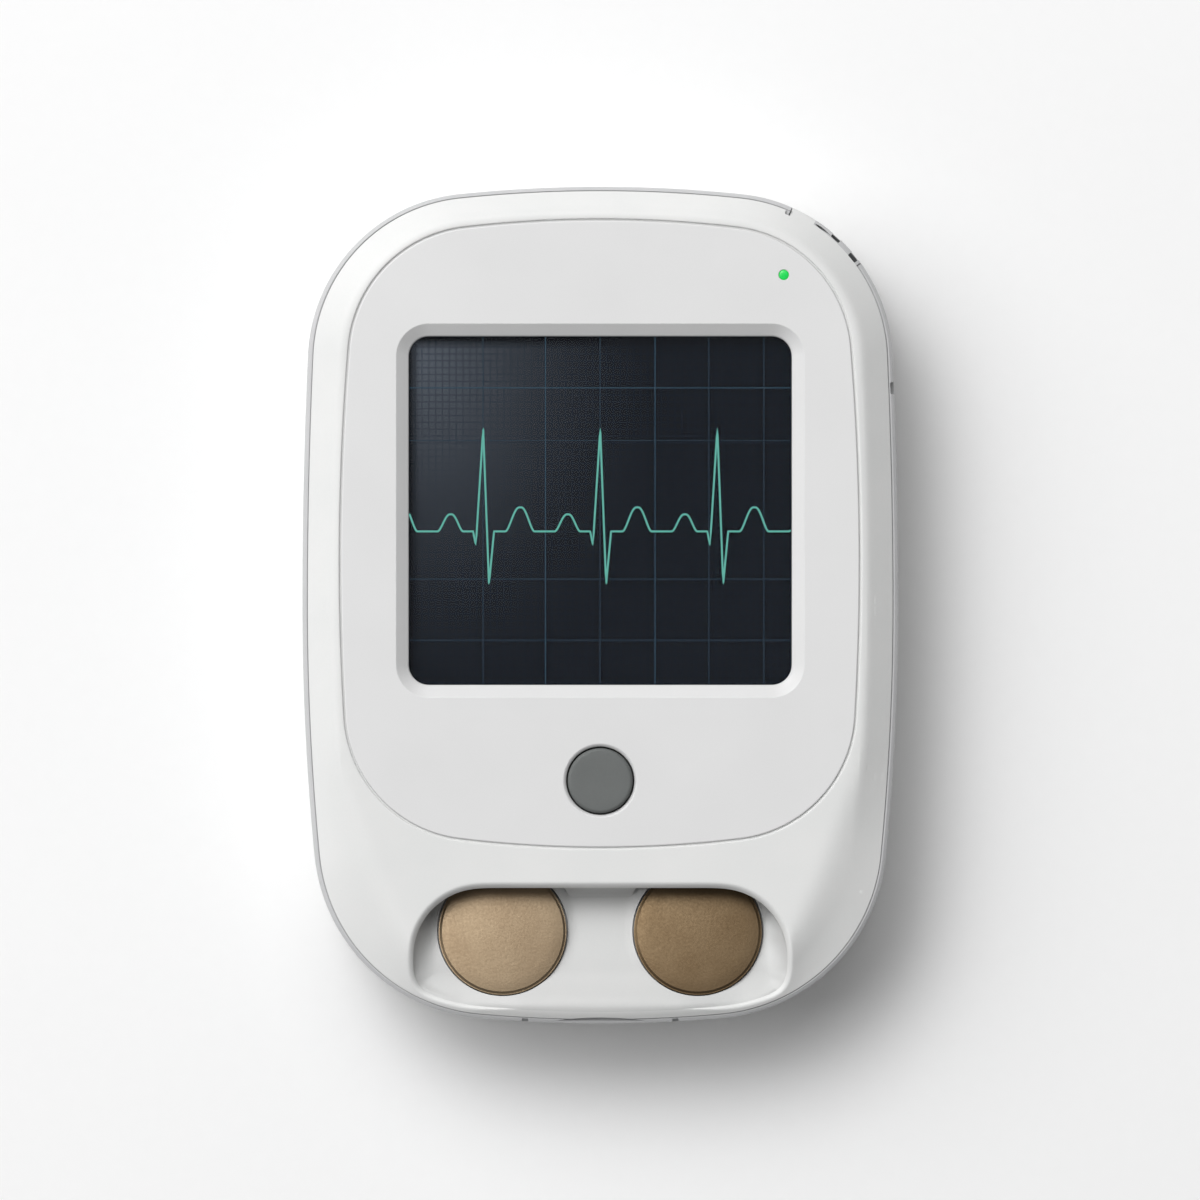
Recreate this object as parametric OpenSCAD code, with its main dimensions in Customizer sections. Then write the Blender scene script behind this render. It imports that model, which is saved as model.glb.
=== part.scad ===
// Hand-held ECG monitor with a screen, a button and two thumb electrodes.
// It lies on its back: +Z is up out of the face, +Y is the top edge, +X the right-hand side.

/* [Body] */
// Overall width across the side band
body_w = 74.4; // [67:0.2:82]
// Overall height from the bottom edge to the top edge
body_h = 104.5; // [95:0.5:115]
// Overall thickness from the feet to the face
body_t = 20; // [19.8:0.1:23]
// Radius of the long sides above the middle
side_r_top = 700; // [500:20:900]
// Radius of the long sides below the middle
side_r_bottom = 325; // [290:5:500]
// Radius of the top and bottom edges
end_r = 170; // [150:5:200]
// Radius of the two top corners
corner_r_top = 21; // [19.5:0.5:24]
// Radius of the two bottom corners
corner_r_bottom = 22.5; // [21:0.5:25]
// Thickness of the side band's wall
band_wall = 1.8; // [1.5:0.1:2]
// Rounding of the band's edges
band_round = 0.4; // [0.2:0.05:0.45]
// Running gap between parts that are pushed into each other
fit_gap = 0.1; // [0.08:0.01:0.15]

/* [Front shell] */
// How far the band stands proud of the front shell's edge
seam_step = 0.5; // [0.45:0.05:0.7]
// Width of the bevel round the face
bevel_w = 3; // [2.4:0.1:3.2]
// Drop of the bevel from the face to the seam
bevel_drop = 2.6; // [2.3:0.1:2.8]
// Radius that softens the top of the bevel
bevel_soft = 1.6; // [1:0.2:2]
// Thickness of the shell under the faceplate
front_wall = 1.4; // [1.2:0.1:1.6]
// Thickness of the tongues that reach inside the band
tongue_t = 1.2; // [1:0.1:1.4]
// Height of the tongues inside the band
tongue_h = 1.8; // [1.4:0.1:1.9]

/* [Faceplate] */
// Distance from the body's sides in to the inset faceplate
plate_side_margin = 4.75; // [4.45:0.05:5.5]
// Distance from the body's top edge to the faceplate
plate_top_margin = 4.15; // [3.9:0.05:5]
// Distance from the body's bottom edge up to the faceplate
plate_bottom_margin = 21.95; // [21.9:0.05:23]
// Drop of the faceplate's widest line below its own middle
plate_mid_drop = 3.5; // [1:0.1:6]
// Thickness of the faceplate
plate_t = 2; // [1.8:0.1:2.2]
// Width of the fine groove round the faceplate
groove_w = 0.2; // [0.15:0.05:0.3]
// Radius of the faceplate's corners
plate_corner_r = 16.3; // [15:0.5:19]
// Radius of the faceplate's top and bottom edges
plate_end_r = 145; // [125:5:165]
// Radius of the faceplate's sides
plate_side_r = 330; // [280:10:480]
// Thickness of the adhesive under the faceplate
adhesive_t = 0.2; // [0.1:0.05:0.25]

/* [Screen] */
// Distance from the faceplate's sides to the screen opening
window_side_margin = 8.55; // [8.3:0.05:10]
// Distance from the faceplate's top to the screen opening
window_top_margin = 14.55; // [14:0.05:17]
// Distance from the screen opening down to the front button's middle
window_button_gap = 11.95; // [11:0.05:13]
// Corner radius of the screen opening
window_r = 2.5; // [2:0.1:3]
// Width of the chamfer round the screen opening
window_bevel = 1.5; // [1.2:0.1:1.7]
// Depth of that chamfer
window_bevel_d = 1.2; // [0.9:0.1:1.4]
// Thickness of the glass
lens_t = 1; // [0.8:0.1:1.2]
// Width of the glass that bears on the faceplate
lens_rim = 0.9; // [0.7:0.1:1.1]
// Thickness of the foam frame behind the glass
gasket_t = 0.5; // [0.3:0.1:0.6]
// Thickness of the picture panel
panel_t = 1.3; // [1.1:0.1:1.5]
// Thickness of the light guide
backlight_t = 1.6; // [1.3:0.1:1.7]
// Wall of the tray that holds the panel
tray_wall = 0.8; // [0.6:0.1:0.9]

/* [Thumb recess] */
// Distance from the body's sides in to the thumb recess
recess_side_margin = 13.2; // [12.7:0.1:14]
// Distance from the body's bottom edge up to the recess's lip
recess_lip_rise = 17.35; // [16.9:0.05:17.6]
// Depth of the recess at its upper lip
recess_depth = 4; // [3.8:0.1:4.2]
// Slope of the recess floor, in degrees
recess_slope = 8; // [6:0.5:9]
// Radius of the recess's upper corners
recess_r_top = 8.5; // [7:0.5:9.5]
// Radius of the recess's lower corners
recess_r_bottom = 5.5; // [4.5:0.5:6.5]
// Width of the rim that is left under the recess
recess_rim = 1.35; // [1.2:0.05:1.6]
// Thickness of the recess floor
recess_floor_t = 2.2; // [2.1:0.1:2.4]
// Thickness of the lip over the electrodes
lip_t = 1.5; // [1.3:0.1:1.7]

/* [Electrodes] */
// Radius of an electrode disc
electrode_r = 8; // [7.5:0.1:8.3]
// Distance from the side of the recess in to an electrode's middle
electrode_side = 11.8; // [11.5:0.1:12.1]
// Distance from the body's bottom edge up to the electrodes' middles
electrode_rise = 11.55; // [11.3:0.05:11.8]
// How far a disc stands above the recess floor
electrode_proud = 0.5; // [0.3:0.05:0.7]
// How far a disc is let into the recess floor
electrode_sink = 1.1; // [0.9:0.1:1.2]
// Radius of an electrode's stud
stud_r = 1.5; // [1.2:0.1:1.8]
// Length of the stud below the recess floor
stud_l = 0.7; // [0.6:0.05:0.8]

/* [Buttons] */
// Distance from the body's bottom edge up to the front button's middle
button_rise = 30.35; // [30.1:0.05:30.9]
// Radius of the front button's cap
button_r = 4.05; // [3.8:0.05:4.2]
// Gap round the front button
button_gap = 0.2; // [0.15:0.05:0.3]
// How far the front button stands above the face
button_proud = 0.35; // [0.2:0.05:0.5]
// Travel of the front button
button_travel = 0.5; // [0.3:0.05:0.6]
// Length of the side key along the band
key_l = 9.3; // [8:0.1:10]
// Width of the side key
key_h = 2.4; // [2:0.1:2.6]
// Distance from the body's top edge down to the side key's middle
key_drop = 33.05; // [31:0.05:35]
// How far the side key stands out of the band
key_proud = 0.14; // [0.1:0.01:0.3]
// Travel of the side key
key_travel = 0.4; // [0.3:0.05:0.5]

/* [Main board] */
// Thickness of the main board
board_t = 1.2; // [1:0.1:1.4]
// Gap between the board's edge and the tongue of the front shell
board_gap = 0.5; // [0.4:0.1:0.8]
// Thickness of the floor of the tray that holds the panel
tray_floor = 0.8; // [0.6:0.1:0.9]

/* [Battery] */
// Width of the battery cell
battery_w = 34; // [30:0.5:36]
// Length of the battery cell
battery_l = 50; // [44:0.5:51]
// Thickness of the battery cell
battery_t = 5.2; // [4.5:0.1:5.3]
// Thickness of the foam pad under the battery
battery_pad_t = 0.3; // [0.2:0.05:0.4]
// Height of the battery's middle above the middle of the body
battery_y = 2; // [0:0.5:4]

/* [Rear cover] */
// Height of the rear cover from its flat back to the seam
rear_h = 5.9; // [5.7:0.1:6.3]
// Thickness of the rear cover
rear_wall = 1.8; // [1.6:0.1:2]
// Radius of the rolled back edge
rear_roll = 5; // [4:0.1:5.2]
// Height of the feet below the back
foot_h = 0.6; // [0.4:0.1:0.8]
// Radius of a foot
foot_r = 3.5; // [3:0.1:4]
// Depth that a foot is let into the back
foot_sink = 0.4; // [0.3:0.1:0.6]

/* [Screws] */
// Radius of the case screws
screw_r = 1; // [0.9:0.05:1.1]
// Radius of a case screw's head
screw_head_r = 1.9; // [1.7:0.1:2]
// Height of a case screw's head
screw_head_h = 1.2; // [1:0.1:1.4]
// Radius of a screw boss on the front shell
boss_r = 2.7; // [2.4:0.1:2.8]
// Distance from the body's outline in to a case screw
boss_inset = 7.8; // [7.6:0.1:8.2]
// Radius of the screws that hold the board
board_screw_r = 0.7; // [0.6:0.05:0.8]

/* [Socket] */
// Width of the charging socket's metal shell
port_w = 8.94; // [8.8:0.02:9.1]
// Height of the charging socket's metal shell
port_h = 3.2; // [3:0.05:3.2]
// Depth of the charging socket
port_l = 7.3; // [6.5:0.1:8]
// Wall of the charging socket's metal shell
port_wall = 0.3; // [0.25:0.01:0.35]
// Depth of the socket's mouth behind the bottom edge
port_set_back = 0.9; // [0.5:0.1:1.2]

/* [Status light] */
// Distance from the body's side in to the status light
light_side = 14.3; // [13.9:0.05:15]
// Distance from the body's top edge down to the status light
light_drop = 11.05; // [10.6:0.05:11.4]
// Radius of the light's visible end
light_r = 0.6; // [0.5:0.05:0.7]

/* [Hidden] */
$fn = 64;
fine_fn = 720;       // sides of a round as large as the body's own curves

// Small amounts
eps = 0.01;
touch = 0.05;        // gap between parts that just meet
reach = body_t * 1.5; // length of a cutter that only has to run clear
short_reach = body_t * 0.15; // the same, for one that mustn't run into the next wall
arc_step = 6;        // degrees between the points of a drawn arc
arc_least = 6;       // fewest steps in a drawn arc
soft_steps = 6;      // steps in a rounded corner

// Colours
shell_white = [0.93, 0.93, 0.92];
plate_white = [0.88, 0.88, 0.88];
band_grey = [0.79, 0.8, 0.8];
button_grey = [0.42, 0.43, 0.42];
bronze = [0.62, 0.52, 0.38];
steel = [0.72, 0.73, 0.75];
board_green = [0.08, 0.3, 0.2];
dark_glass = [0.13, 0.14, 0.17];
black_plastic = [0.1, 0.1, 0.11];
chip_black = [0.15, 0.15, 0.16];

// Places on the face
half_w = body_w / 2;
half_h = body_h / 2;
plate_w = body_w - 2 * plate_side_margin;
plate_top = half_h - plate_top_margin;
plate_bottom = half_h - plate_bottom_margin;
plate_mid_y = (plate_top - plate_bottom) / 2 - plate_mid_drop;
button_y = half_h - button_rise;
window_top = plate_top - window_top_margin;
window_bottom = window_button_gap - button_y;
window_w = plate_w - 2 * window_side_margin;
window_h = window_top - window_bottom;
window_y = (window_top + window_bottom) / 2;
recess_w = body_w - 2 * recess_side_margin;
recess_lip_y = half_h - recess_lip_rise;
electrode_x = recess_w / 2 - electrode_side;
electrode_y = half_h - electrode_rise;
key_y = half_h - key_drop;
light_x = half_w - light_side;
light_y = half_h - light_drop;

// Heights through the body
back_z = foot_h;
rear_inner_z = back_z + rear_wall;
rear_seam_z = back_z + rear_h;
front_seam_z = body_t - bevel_drop;
plate_z = body_t - plate_t;
ceiling_z = plate_z - adhesive_t - front_wall;
lens_z = plate_z - lens_t;
panel_top_z = lens_z - gasket_t;
panel_z = panel_top_z - panel_t;
backlight_z = panel_z - backlight_t;
tray_z = backlight_z - tray_floor;
board_top_z = tray_z;
board_z = board_top_z - board_t;

// Steps inwards from the outline
tongue_inset = band_wall + fit_gap;
cavity_inset = tongue_inset + tongue_t;
board_inset = cavity_inset + board_gap;
edge_inset = 8;      // where the lofted edges end on the flat faces

// An arc is [centre, radius, first angle, last angle]. Two of them meet in each corner arc,
// which touches the side arc and the end arc from inside.
function corner_centre(a, b, side_r, end_r, corner_r) =
    let (
        side_c = [a - side_r, 0],
        end_c = [0, b - end_r],
        d = norm(end_c - side_c),
        r1 = side_r - corner_r,
        r2 = end_r - corner_r,
        t = (r1 * r1 - r2 * r2 + d * d) / (2 * d),
        h = sqrt(r1 * r1 - t * t),
        u = (end_c - side_c) / d
    )
    side_c + u * t + [-u.y, u.x] * h;

// The five arcs over one half of an outline, from the right-hand side to the left-hand side
function half_arcs(a, b, side_r, end_r, corner_r) =
    let (
        c = corner_centre(a, b, side_r, end_r, corner_r),
        low = atan2(c.y, c.x - a + side_r),
        high = atan2(c.y - b + end_r, c.x)
    )
    [
        [[a - side_r, 0], side_r, 0, low],
        [c, corner_r, low, high],
        [[0, b - end_r], end_r, high, 180 - high],
        [[-c.x, c.y], corner_r, 180 - high, 180 - low],
        [[side_r - a, 0], side_r, 180 - low, 180]
    ];

function turned_arc(arc) = [-arc[0], arc[1], arc[2] + 180, arc[3] + 180];
function shifted_arc(arc, y) = [arc[0] + [0, y], arc[1], arc[2], arc[3]];

body_arcs = concat(
    half_arcs(half_w, half_h, side_r_top, end_r, corner_r_top),
    [for (arc = half_arcs(half_w, half_h, side_r_bottom, end_r, corner_r_bottom)) turned_arc(arc)]
);
plate_half_w = plate_w / 2;
plate_arcs = [
    for (arc = concat(
        half_arcs(plate_half_w, plate_top - plate_mid_y, plate_side_r, plate_end_r, plate_corner_r),
        [for (low = half_arcs(plate_half_w, plate_bottom + plate_mid_y, plate_side_r, plate_end_r,
                              plate_corner_r)) turned_arc(low)]
    )) shifted_arc(arc, plate_mid_y)
];

function arc_steps(arc) = max(arc_least, ceil((arc[3] - arc[2]) / arc_step));
function on_arc(arc, angle, inset) = arc[0] + (arc[1] - inset) * [cos(angle), sin(angle)];
function outline(arcs, inset) = [
    for (arc = arcs)
        let (n = arc_steps(arc))
            for (i = [0 : n - 1]) on_arc(arc, arc[2] + (arc[3] - arc[2]) * i / n, inset)
];

// A corner of a polygon, rounded by a tangent arc
function corner_arc(a, p, c, r) =
    let (
        u = (a - p) / norm(a - p),
        v = (c - p) / norm(c - p),
        half = acos(u * v) / 2,
        centre = p + (u + v) / norm(u + v) * r / sin(half),
        from = p + u * r / tan(half) - centre,
        to = p + v * r / tan(half) - centre,
        a0 = atan2(from.y, from.x),
        turn = (atan2(to.y, to.x) - a0 + 540) % 360 - 180
    )
    [
        for (k = [0 : soft_steps])
            let (angle = a0 + turn * k / soft_steps)
                centre + r * [cos(angle), sin(angle)]
    ];

// A polygon whose corners are rounded; a radius of 0 leaves the corner sharp
function rounded(pts, radii) = [
    for (i = [0 : len(pts) - 1])
        let (n = len(pts))
            each (radii[i] == 0
                ? [pts[i]]
                : corner_arc(pts[(i + n - 1) % n], pts[i], pts[(i + 1) % n], radii[i]))
];
function box_corners(w, h) = [[w, h] / 2, [-w, h] / 2, [-w, -h] / 2, [w, -h] / 2];

// The same for an open run of points, whose two ends stay as they are
function eased(pts, radii) = [
    for (i = [0 : len(pts) - 1])
        each (radii[i] == 0 ? [pts[i]] : corner_arc(pts[i - 1], pts[i], pts[i + 1], radii[i]))
];

// A flat slab with the outline's shape
module slab(arcs, inset, z0, z1) {
    translate([0, 0, z0])
        linear_extrude(z1 - z0)
            polygon(outline(arcs, inset));
}

// A profile of [inset, height] points swept along one arc, between two angles
module swept(arc, from, to, profile) {
    translate(arc[0])
        rotate(from)
            rotate_extrude(angle = to - from, $fn = ceil(360 * arc_least / (to - from)))
                polygon([for (p = profile) [arc[1] - p.x, p.y]]);
}

// A solid whose outline steps in and out with its height, with one ring for each
// [inset, height] point, from below
module loft(arcs, profile) {
    rings = [for (p = profile) [for (q = outline(arcs, p.x)) [q.x, q.y, p.y]]];
    n = len(rings[0]);
    last = (len(profile) - 1) * n;
    polyhedron(
        points = [for (ring = rings) each ring],
        faces = concat(
            [[for (i = [0 : n - 1]) i]],
            [[for (i = [n - 1 : -1 : 0]) last + i]],
            [for (k = [0 : n : last - n], i = [0 : n - 1]) [k + i, k + n + i, k + n + (i + 1) % n]],
            [for (k = [0 : n : last - n], i = [0 : n - 1]) [k + i, k + n + (i + 1) % n, k + (i + 1) % n]]
        )
    );
}

module rounded_box(w, h, r, z0, z1) {
    translate([0, 0, z0])
        linear_extrude(z1 - z0)
            polygon(rounded(box_corners(w, h), [r, r, r, r]));
}

module rod(r, z0, z1) {
    translate([0, 0, z0]) cylinder(r = r, h = z1 - z0);
}

// Case screws: on a ray from each corner's centre, a fixed distance inside the outline
boss_turn_top = 35;
boss_turn_bottom = 29;
top_arc = body_arcs[1];
bottom_arc = body_arcs[8];
boss_top = on_arc(top_arc, boss_turn_top, boss_inset);
boss_bottom = on_arc(bottom_arc, 360 - boss_turn_bottom, boss_inset);
boss_places = [for (p = [boss_top, boss_bottom], side = [-1, 1]) [side * p.x, p.y]];
boss_hole_gap = 0.4;
boss_below_board = 1.4;
boss_end_z = board_z - boss_below_board;
screw_grip = 3;      // how far a case screw reaches above the underside of the board
screw_shelf_t = 1.6;
screw_seat_z = rear_inner_z + screw_shelf_t;
pillar_r = 3.2;

// Board screws
board_boss_r = 1.9;
board_boss_out = 6;   // from the screen opening's side
board_boss_down = 7.8; // from the screen's middle
board_low_in = 17.7;  // from the body's side
board_low_up = 2.9;   // from the faceplate's bottom edge
board_boss_x = window_w / 2 + board_boss_out;
board_boss_y = window_y - board_boss_down;
board_low_x = half_w - board_low_in;
board_low_y = plate_bottom - board_low_up;
screw_end_gap = 0.3;  // depth that a hole is left past its screw's end
board_boss_places = [for (p = [[board_boss_x, board_boss_y], [board_low_x, -board_low_y]], side = [-1, 1])
    [side * p.x, p.y]];
board_screw_l = 3.4;
board_head_r = 1.3;
board_head_h = 0.7;

// Thumb recess
function ramp_z(y) = body_t - recess_depth - (y + recess_lip_y) * tan(recess_slope);
basin_wall = 1.2;
pocket_gap = 1.2;
pocket_r = electrode_r + pocket_gap;
basin_back_y = -electrode_y + pocket_r + basin_wall;
basin_front_y = -half_h + tongue_inset;
electrode_gap = 0.2;
web_clear = 7.7;     // from an electrode's middle to the wall that shows between the two
web_w = 2 * (electrode_x - web_clear);
web_foot = 1.25;     // how far its foot lies in front of the lip
web_sink = 0.1;      // how far it runs into the floor

module on_ramp(x) {
    translate([x, -electrode_y, ramp_z(-electrode_y)])
        rotate([-recess_slope, 0, 0])
            children();
}

module above_ramp() {
    translate([0, -recess_lip_y, ramp_z(-recess_lip_y)])
        rotate([-recess_slope, 0, 0])
            translate([-half_w, -half_w, 0])
                cube([body_w, body_w, reach]);
}

module recess_cut() {
    low_y = half_h - recess_rim;
    mid_y = (recess_lip_y + low_y) / 2;
    r1 = recess_r_top;
    r2 = recess_r_bottom;
    intersection() {
        translate([0, -mid_y, board_z])
            linear_extrude(reach)
                polygon(rounded(box_corners(recess_w, low_y - recess_lip_y), [r1, r1, r2, r2]));
        slab(body_arcs, recess_rim, board_z, reach);
        above_ramp();
    }
}

// Undercut over the top of each electrode, below the lip
module pocket_cuts() {
    intersection() {
        for (side = [-1, 1])
            translate([side * electrode_x, -electrode_y, 0])
                rod(pocket_r, board_z, body_t - lip_t);
        above_ramp();
    }
}

// Sloping face between the two pockets
module web() {
    lip = -recess_lip_y;
    foot = lip - web_foot;
    rotate([90, 0, 90])
        translate([0, 0, -web_w / 2])
            linear_extrude(web_w)
                polygon([
                    [lip + basin_wall, body_t - lip_t], [lip, body_t - lip_t],
                    [foot, ramp_z(foot)], [foot, ramp_z(foot) - web_sink],
                    [lip + basin_wall, ramp_z(foot) - web_sink]
                ]);
}

// Floor and back wall of the thumb recess, below the face of the shell
module basin() {
    under = recess_floor_t / cos(recess_slope);
    intersection() {
        rotate([90, 0, 90])
            translate([0, 0, -recess_w / 2 - basin_wall])
                linear_extrude(recess_w + 2 * basin_wall)
                    polygon([
                        [basin_back_y, plate_z - adhesive_t], [basin_back_y, ramp_z(basin_back_y) - under],
                        [basin_front_y, ramp_z(basin_front_y) - under], [basin_front_y, front_seam_z]
                    ]);
        slab(body_arcs, tongue_inset + tongue_t / 2, board_z, body_t);
    }
}

// Strap corner: two slots beside a bar, with a pocket behind them
strap_from = 36;
strap_to = 66;
strap_slots = [39, 47.7];
strap_slot_w = 1.35;
strap_slot_d = 0.75;
strap_h = 2;
strap_pocket_h = 2.4;
strap_pocket_turn = 2.4;
strap_block_turn = 5;
strap_back = 3.4;
strap_back_wall = 1;
strap_turn_gap = 0.4;
bevel_slope = bevel_drop / bevel_w;
strap_end_z = front_seam_z - seam_step * bevel_slope;
strap_z = front_seam_z - strap_h;

module strap_corner() {
    inner = tongue_inset + tongue_t / 2;
    wedge = reach * 2;
    intersection() {
        difference() {
            loft(body_arcs, eased([[0, strap_z], [0, strap_end_z], [seam_step, front_seam_z]],
                                  [0, band_round, 0]));
            slab(body_arcs, inner, 0, reach);
        }
        translate([top_arc[0].x, top_arc[0].y, 0])
            linear_extrude(reach)
                polygon([[0, 0], for (turn = [strap_from, strap_to]) wedge * [cos(turn), sin(turn)]]);
    }
}

module strap_slot_cuts() {
    for (angle = strap_slots)
        translate(top_arc[0])
            rotate(angle)
                translate([top_arc[1] - strap_slot_d, -strap_slot_w / 2, strap_z - strap_pocket_h])
                    cube([strap_slot_d + 1, strap_slot_w, reach]);
}

// Side key: its own frame has +X out of the band
side_arc = body_arcs[0];
key_turn = asin(key_y / side_r_top);
key_below_board = 1.55;
key_z = board_z - key_below_board;
key_flange_t = 0.9;
key_flange_over = 0.8;
key_flange_l = key_l + 2 * key_flange_over;
key_nub_l = 0.5;
key_nub_r = 0.8;

module at_key() {
    translate([side_arc[0].x, 0, key_z])
        rotate(key_turn)
            translate([side_r_top, 0, 0])
                children();
}

module key_bar(l, h, r, x0, x1) {
    translate([x0, 0, 0])
        rotate([90, 0, 90])
            linear_extrude(x1 - x0)
                polygon(rounded(box_corners(l, h), [r, r, r, r]));
}

module x_rod(r, x0, x1) {
    translate([x0, 0, 0]) rotate([0, 90, 0]) cylinder(r = r, h = x1 - x0);
}

// Charging socket, on the underside of the board
port_gap = 0.25;
port_z = board_z - port_h / 2;
port_mouth_y = -half_h + port_set_back;

module port_bar(w, h, y0, y1) {
    translate([0, y1, port_z])
        rotate([90, 0, 0])
            linear_extrude(y1 - y0)
                polygon(rounded(box_corners(w, h), [1, 1, 1, 1] * (h / 2 - eps)));
}

// Thin gap for a finger nail at the bottom seam, over the socket
pry_w = 9;
pry_d = 0.25;
pry_h = 0.75;
pry_r = (pry_w * pry_w / 4 + pry_d * pry_d) / (2 * pry_d);

// Notch in the shell beside the strap corner
notch_turn = 66.8;
notch_size = 0.9;
notch_depth = 0.72;

// Front shell before its recess and holes: bevelled face, tongue, recess floor and screw bosses
module shell_blank() {
    difference() {
        union() {
            loft(body_arcs, eased(
                [[seam_step, front_seam_z], [seam_step + bevel_w, body_t], [edge_inset, body_t]],
                [0, bevel_soft, 0]));
            slab(body_arcs, tongue_inset, front_seam_z - tongue_h, front_seam_z + tongue_t / 2);
        }
        slab(body_arcs, cavity_inset, 0, ceiling_z);
    }
    basin();
    strap_corner();
    for (p = boss_places) translate(p) rod(boss_r, boss_end_z, ceiling_z + front_wall / 2);
    for (p = board_boss_places) translate(p) rod(board_boss_r, board_top_z, ceiling_z + front_wall / 2);
}

module front_shell() {
    color(shell_white)
        difference() {
            union() {
                difference() {
                    shell_blank();
                    recess_cut();
                    pocket_cuts();
                }
                web();
            }
            slab(plate_arcs, -groove_w / 2, plate_z - adhesive_t, reach);
            translate([0, window_y, 0])
                rounded_box(lens_w + 2 * lens_gap, lens_h + 2 * lens_gap, lens_r, board_z, body_t);
            translate([0, -button_y, 0]) rod(guide_r, board_z, body_t);
            translate([light_x, light_y, 0]) rod(light_r + fit_gap, board_z, body_t);
            for (p = boss_places)
                translate(p) rod(screw_r + touch, 0, board_z + screw_grip + screw_end_gap);
            for (p = board_boss_places)
                translate(p) rod(board_screw_r + touch, 0, board_z + board_screw_l + screw_end_gap);
            for (side = [-1, 1]) on_ramp(side * electrode_x) {
                rod(electrode_r + electrode_gap, -electrode_sink, short_reach);
                rod(stud_r + fit_gap, -short_reach, 0);
            }
            strap_slot_cuts();
            translate([0, -half_h + seam_step + pry_d - pry_r, front_seam_z - eps]) rod(pry_r, 0, pry_h);
            translate(top_arc[0]) rotate(notch_turn)
                translate([top_arc[1] - seam_step - notch_depth, -notch_size / 2, front_seam_z - eps])
                    cube([notch_size * 2, notch_size, reach]);
        }
}

// Glass
lens_w = window_w + 2 * lens_rim;
lens_h = window_h + 2 * lens_rim;
lens_r = window_r + lens_rim;
lens_gap = 0.15;

// Chamfered hole: two troughs that cross, and a cone in each corner
module chamfered_hole(w, h, r, c, z0, z1) {
    module trough(across, along) {
        translate([0, along / 2, 0])
            rotate([90, 0, 0])
                linear_extrude(along)
                    polygon([[-across / 2, z0], [across / 2, z0],
                             [across / 2 + c, z1], [-across / 2 - c, z1]]);
    }
    trough(w, h - 2 * r);
    rotate(90) trough(h, w - 2 * r);
    for (p = box_corners(w - 2 * r, h - 2 * r))
        translate([p.x, p.y, z0]) cylinder(r1 = r, r2 = r + c, h = z1 - z0);
}

button_hole_bevel = 0.35;

module faceplate() {
    edge = 0.12;
    color(plate_white)
        difference() {
            loft(plate_arcs, [[groove_w / 2, plate_z], [groove_w / 2, body_t - edge],
                              [groove_w / 2 + edge, body_t]]);
            translate([0, window_y, 0]) {
                rounded_box(window_w, window_h, window_r, 0, reach);
                chamfered_hole(window_w, window_h, window_r, window_bevel, body_t - window_bevel_d, body_t);
            }
            translate([0, -button_y, 0]) {
                rod(button_r + button_gap, 0, reach);
                translate([0, 0, body_t - button_hole_bevel])
                    cylinder(r1 = button_r + button_gap, r2 = button_r + button_gap + button_hole_bevel,
                             h = button_hole_bevel);
            }
            translate([light_x, light_y, 0]) rod(light_r + touch, 0, reach);
        }
}

module faceplate_adhesive() {
    margin = 1;
    color(chip_black)
        difference() {
            slab(plate_arcs, margin, plate_z - adhesive_t, plate_z);
            translate([0, window_y, 0])
                rounded_box(lens_w + 2 * margin, lens_h + 2 * margin, lens_r, 0, reach);
            translate([0, -button_y, 0]) rod(guide_r + margin / 2, 0, reach);
            translate([light_x, light_y, 0]) rod(light_r + margin / 2, 0, reach);
        }
}

module display_lens() {
    color(dark_glass)
        translate([0, window_y, 0]) rounded_box(lens_w, lens_h, lens_r, lens_z, plate_z);
}

module display_gasket() {
    color(black_plastic)
        translate([0, window_y, 0])
            difference() {
                rounded_box(lens_w, lens_h, lens_r, panel_top_z, lens_z);
                rounded_box(window_w + touch, window_h + touch, window_r, 0, reach);
            }
}

tray_margin = 0.5;
tray_w = lens_w + 2 * tray_margin;
tray_h = lens_h + 2 * tray_margin;
panel_w = tray_w - 2 * tray_wall - 2 * fit_gap;
panel_h = tray_h - 2 * tray_wall - 2 * fit_gap;
panel_r = 2;
tray_r = panel_r + tray_wall;
flex_w = 16;
flex_t = 0.15;
flex_bend = 0.8;
flex_side_gap = 1;

module lcd_panel() {
    color([0.2, 0.24, 0.3])
        translate([0, window_y, 0]) rounded_box(panel_w, panel_h, panel_r, panel_z, panel_top_z);
}

module backlight() {
    color([0.85, 0.87, 0.9])
        translate([0, window_y, 0]) rounded_box(panel_w, panel_h, panel_r, backlight_z, panel_z);
}

module lcd_tray() {
    rim_drop = 0.3;
    color(black_plastic)
        translate([0, window_y, 0])
            difference() {
                rounded_box(tray_w, tray_h, tray_r, tray_z, panel_top_z - rim_drop);
                rounded_box(panel_w + 2 * fit_gap, panel_h + 2 * fit_gap, panel_r, backlight_z, reach);
                translate([-flex_w / 2 - flex_side_gap, -tray_h / 2 - 1, backlight_z])
                    cube([flex_w + 2 * flex_side_gap, tray_wall + 2, reach]);
            }
}

// Ribbon from the panel's lower edge, over a bend, down into its connector
flex_z = panel_z + panel_t / 2;
flex_out_y = window_y - panel_h / 2;
flex_run = tray_wall + 0.7;
flex_down_y = flex_out_y - flex_run - flex_bend - flex_t;
connector_h = 1;
connector_d = 2;
connector_slot = 0.5;

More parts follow.
